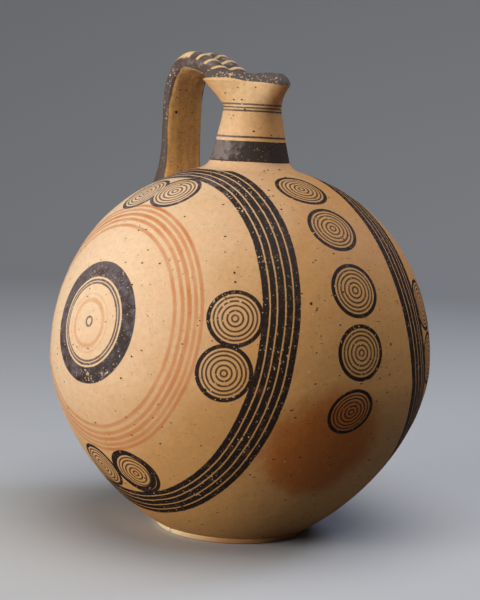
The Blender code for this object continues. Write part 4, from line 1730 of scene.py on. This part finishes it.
@dataclass
class Studio:
    """A pale floor that curves up into the backdrop, and plain soft light."""

    # Matt backdrop paper: no sheen and a fine tooth. It throws less light back on the jug than
    # it shows to the camera, as a floor further off would.
    paper: str = "#CDCECF"
    shaded: str = "#707072"
    tooth_per_metre: float = 900.0
    tooth_mm: float = 0.4
    tooth_strength: float = 0.15
    hole_mm: float = 1.0
    flat_mm: float = 400.0
    radius_mm: float = 2300.0
    sweep_mm: float = 900.0
    wall_mm: float = 2600.0
    sweep_steps: int = 24
    sides: int = 96
    sky: str = "#E4E9F2"
    sky_strength: float = 0.12

    def build(self, lamps: Sequence[Lamp]) -> None:
        """Makes the floor, the world and the lamps.

        Args:
            lamps: The lamps.
        """
        foot = self.radius_mm - self.sweep_mm
        profile: Profile = [(self.hole_mm, 0.0), (self.flat_mm, 0.0), (foot, 0.0)]
        for share in steps(self.sweep_steps)[1:]:
            turn = share * pi / 2
            profile.append((foot + self.sweep_mm * sin(turn), self.sweep_mm * (1 - cos(turn))))
        profile.append((self.radius_mm, self.wall_mm))
        floor = mesh_piece("paper_floor", turned(profile, self.sides), Ends.OPEN)
        floor.data.shade_smooth()
        paper = bpy.data.materials.new("matt_paper")
        paper.use_nodes = True
        tree = paper.node_tree
        tree.nodes.clear()
        seen = put(tree, "ShaderNodeLightPath", out="Is Camera Ray")
        place = put(tree, "ShaderNodeTexCoord", out="Object")
        tooth = put(tree, NOISE, {"Vector": place, "Scale": self.tooth_per_metre, "Detail": 2.0})
        bump = put(tree, "ShaderNodeBump", {"Strength": self.tooth_strength,
                                            "Distance": self.tooth_mm * MM, "Height": tooth})
        pale = put(tree, "ShaderNodeBsdfDiffuse", {"Color": linear(self.paper), "Normal": bump})
        dim = put(tree, "ShaderNodeBsdfDiffuse", {"Color": linear(self.shaded)})
        shader = put(tree, "ShaderNodeMixShader", (seen, dim, pale))
        put(tree, "ShaderNodeOutputMaterial", {"Surface": shader})
        floor.data.materials.append(paper)
        world = bpy.data.worlds.new("studio")
        bpy.context.scene.world = world
        world.use_nodes = True
        tree = world.node_tree
        tree.nodes.clear()
        glow = put(tree, "ShaderNodeBackground", {"Color": linear(self.sky),
                                                  "Strength": self.sky_strength})
        put(tree, "ShaderNodeOutputWorld", {"Surface": glow})
        for lamp in lamps:
            lamp.build()


# What is painted where, measured as angles from each flank's middle and in millimetres

FLANK_BANDS = (Stripe(54.1, 55.9), Stripe(56.3, 57.9), Stripe(58.3, 60.2), Stripe(60.6, 62.4),
               Stripe(62.8, 64.6))
FAR_BANDS = (Stripe(52.5, 54.8), Stripe(55.2, 56.5), Stripe(56.9, 58.9), Stripe(59.3, 61.2),
             Stripe(61.6, 64.3))
# A thin line holds less paint than a broad one, and fires brown.
MIDDLE_BANDS = (Stripe(0.95, 1.6, 0.9), Stripe(10.75, 11.35, 0.9), Stripe(11.65, 12.3, 0.9),
                Stripe(12.9, 17.5))
RED_BANDS = (Stripe(5.9, 7.1, 0.5), Stripe(8.1, 8.5, 0.35), Stripe(29.4, 30.5, 0.85),
             Stripe(31.7, 32.8, 0.9), Stripe(33.6, 34.8), Stripe(35.6, 36.6, 0.8),
             Stripe(37.3, 38.3))
TARGET_RINGS = (Stripe(1.3, 2.4, 0.88), Stripe(3.9, 5.0, 0.9), Stripe(6.7, 7.8, 0.88),
                Stripe(9.3, 10.4, 0.9), Stripe(11.6, 12.7, 0.88), Stripe(13.8, 16.2))

LEFT, RIGHT = (-0.4, 12.6), (173.5, 11.5)
MOTIFS = (
    on_flank(LEFT, 47.05, 75.3), on_flank(LEFT, 46.5, 95.8), on_flank(LEFT, 46.6, 5.3),
    on_flank(LEFT, 45.4, -12.0), on_flank(LEFT, 46.3, 163.5), on_flank(LEFT, 45.8, -173.4),
    on_flank(LEFT, 46.4, -80.0), on_flank(LEFT, 46.6, -100.0),
    at(85.3, 63.6), at(86.7, 46.7), at(86.5, 27.5), at(86.0, 10.3),
    at(83.6, -6.1, size=0.97, squeeze=1.2, bearing=110.0),
    on_flank(RIGHT, 46.6, -72.0), on_flank(RIGHT, 46.6, -94.0), on_flank(RIGHT, 45.9, -6.0),
    on_flank(RIGHT, 45.6, 12.0), on_flank(RIGHT, 45.9, -164.0), on_flank(RIGHT, 45.6, 176.0),
    on_flank(RIGHT, 46.5, 80.0), on_flank(RIGHT, 46.5, 101.0),
    at(-93.0, 8.0), at(-93.5, -9.0), at(-92.5, 25.5),
)
PAINTING = BodyPainting(
    black=(Circles(*LEFT, FLANK_BANDS), Circles(0.6, 13.9, MIDDLE_BANDS, sway=0.12),
           Circles(12.4, -31.1, (Stripe(6.35, 8.1),), sway=0.1), Circles(*RIGHT, FAR_BANDS),
           Circles(173.8, 12.4, MIDDLE_BANDS, sway=0.12)),
    red=(Circles(0.0, 13.4, RED_BANDS, soft=0.16), Circles(173.6, 12.2, RED_BANDS, soft=0.16)),
    motifs=MOTIFS, rings=TARGET_RINGS)
NECK_BANDS = Bands((Stripe(229.2, 241.6), Stripe(243.4, 244.6, 0.95), Stripe(259.25, 260.3, 0.9),
                    Stripe(261.15, 262.15, 0.9), Stripe(263.1, 264.2, 0.9)))

# Where handling has knocked the paint off, in millimetres
BODY_KNOCKS = (((3.5, -117.9, 105.0), 6.0), ((20.0, -116.3, 107.0), 5.0),
               ((40.0, -49.5, 210.6), 6.0), ((54.5, -52.3, 201.9), 6.0),
               ((88.9, -67.4, 77.9), 6.0), ((89.6, -76.3, 116.3), 5.0))
LIP_KNOCKS = (((3.0, -22.3, 280.5), 5.5), ((-3.0, -25.0, 281.0), 4.0), ((26.9, -5.2, 281.0), 3.0))
STRAP_KNOCKS = (((-66.0, -14.3, 284.0), 11.0), ((-71.0, -14.3, 272.0), 7.0),
                ((-26.0, -14.3, 283.0), 6.0))

# The same slip and paints on each piece, as the kiln and the years left them there, with light
# and shade partly painted into their colours

BODY_SLIP = PaintedSlip("burnished slip with ring painting", PAINTING, knocked=BODY_KNOCKS)
# The neck's bands are thin and little worn; their black is dusty and lighter, on the lit side as
# painted sheen. The slip is pale on the lit side as painted light.
NECK_SLIP = PaintedSlip(
    "burnished slip with neck bands", NECK_BANDS, pale="#EEC392", black="#382C26",
    black_dust_and_sheen="#82746F", middle_mm=220.0, wear=-0.03, mottle=0.12)
COLLAR_SLIP = PaintedSlip("burnished slip at the neck's foot", NECK_BANDS)
# The lip's paint is dusty and flakes at the spout; its lighter black is part dust and part
# painted sheen. The mouth's slip is painted paler in its middle, as painted light, and its
# blush under the spout is painted shade.
MOUTH_SLIP = PaintedSlip(
    "burnished slip with painted lip", Reserved("lip_paint", NECK_BANDS), pale="#F7CC97",
    black="#5E5450", black_dust_and_sheen="#5A504C", middle_mm=235.0, lit_side_towards=(58.0, 30.0),
    blush_towards=(98.0, 48.0), blush_share=0.4, mottle=0.13,
    pits=Specks(3.4, (0.1, 0.55), 0.75), wear=0.02, knocked=LIP_KNOCKS, knock_loss=0.11)
# The strap was pulled, not thrown, so finger marks run up it and its surface is rougher. Its slip
# is pale on top and ochre on its inner face and sides, as painted light and shade.
STRAP_SLIP = PaintedSlip(
    "burnished slip with painted strap edges", StrapPainting(), pale="#F2D0A0", ochre="#DCA762",
    black="#5C4D47", black_dust_and_sheen="#8E7E77", middle_mm=280.0, lit_side_towards=(-90.0, 60.0),
    blush_share=0.0, drawn=(0.4, 0.4, 0.04), drawn_depth_mm=0.3, mottle=0.2, dent_mm=0.35,
    pits=Specks(3.2, (0.1, 0.55), 0.75), wear=-0.01, knocked=STRAP_KNOCKS, knock_loss=0.05)
# The foot was turned and wiped bare, and so was the coil inside. The clay is pale on the side
# towards the light and darker away from it, as painted light.
BARE_CLAY = PaintedSlip(
    "bare earthenware, turned", Plain(), pale="#FADEAC", ochre="#C48C58", middle_mm=0.0,
    lit_side_towards=(-32.0, 5.0), blush_share=0.0, slip_roughness=0.82)

LAMPS = (
    Lamp("key softbox", -5.0, 4.0, 1.1, 0.6, 3.6, spread=100.0),
    Lamp("overhead softbox", 80.0, 74.0, 1.6, 1.8, 18.4),
    Lamp("rim softbox", 165.0, 42.0, 1.5, 0.5, 4.4, colour="#D0DCFF"),
)


def main() -> None:
    """Builds the jug piece by piece, then the studio and the camera."""
    logging.basicConfig(level=logging.INFO, format="%(name)s: %(message)s")
    Camera().build()
    finishes = (BODY_SLIP, NECK_SLIP, COLLAR_SLIP, MOUTH_SLIP, STRAP_SLIP, BARE_CLAY)
    body, neck, collar, mouth, strap, bare = (finish.material() for finish in finishes)
    jug = Jug(wobble_tree())
    bowls = bowl_tree()
    pieces = [ThrownBowl(half).build(jug, bowls, body) for half in Half]
    shape = NeckAndMouth()
    pieces += [shape.build_neck(jug, neck), shape.build_collar(jug, collar),
               shape.build_mouth(jug, mouth), StrapHandle().build(jug, strap),
               FootRing().build(jug, bare)]
    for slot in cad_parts["seam_coil"].material_slots:
        slot.material = bare
    for piece in pieces:
        LOG.info("%s rides on root", piece.name)
    Studio().build(LAMPS)
    scene = bpy.context.scene
    scene.view_settings.view_transform = "Standard"


if __name__ == "__main__":
    main()
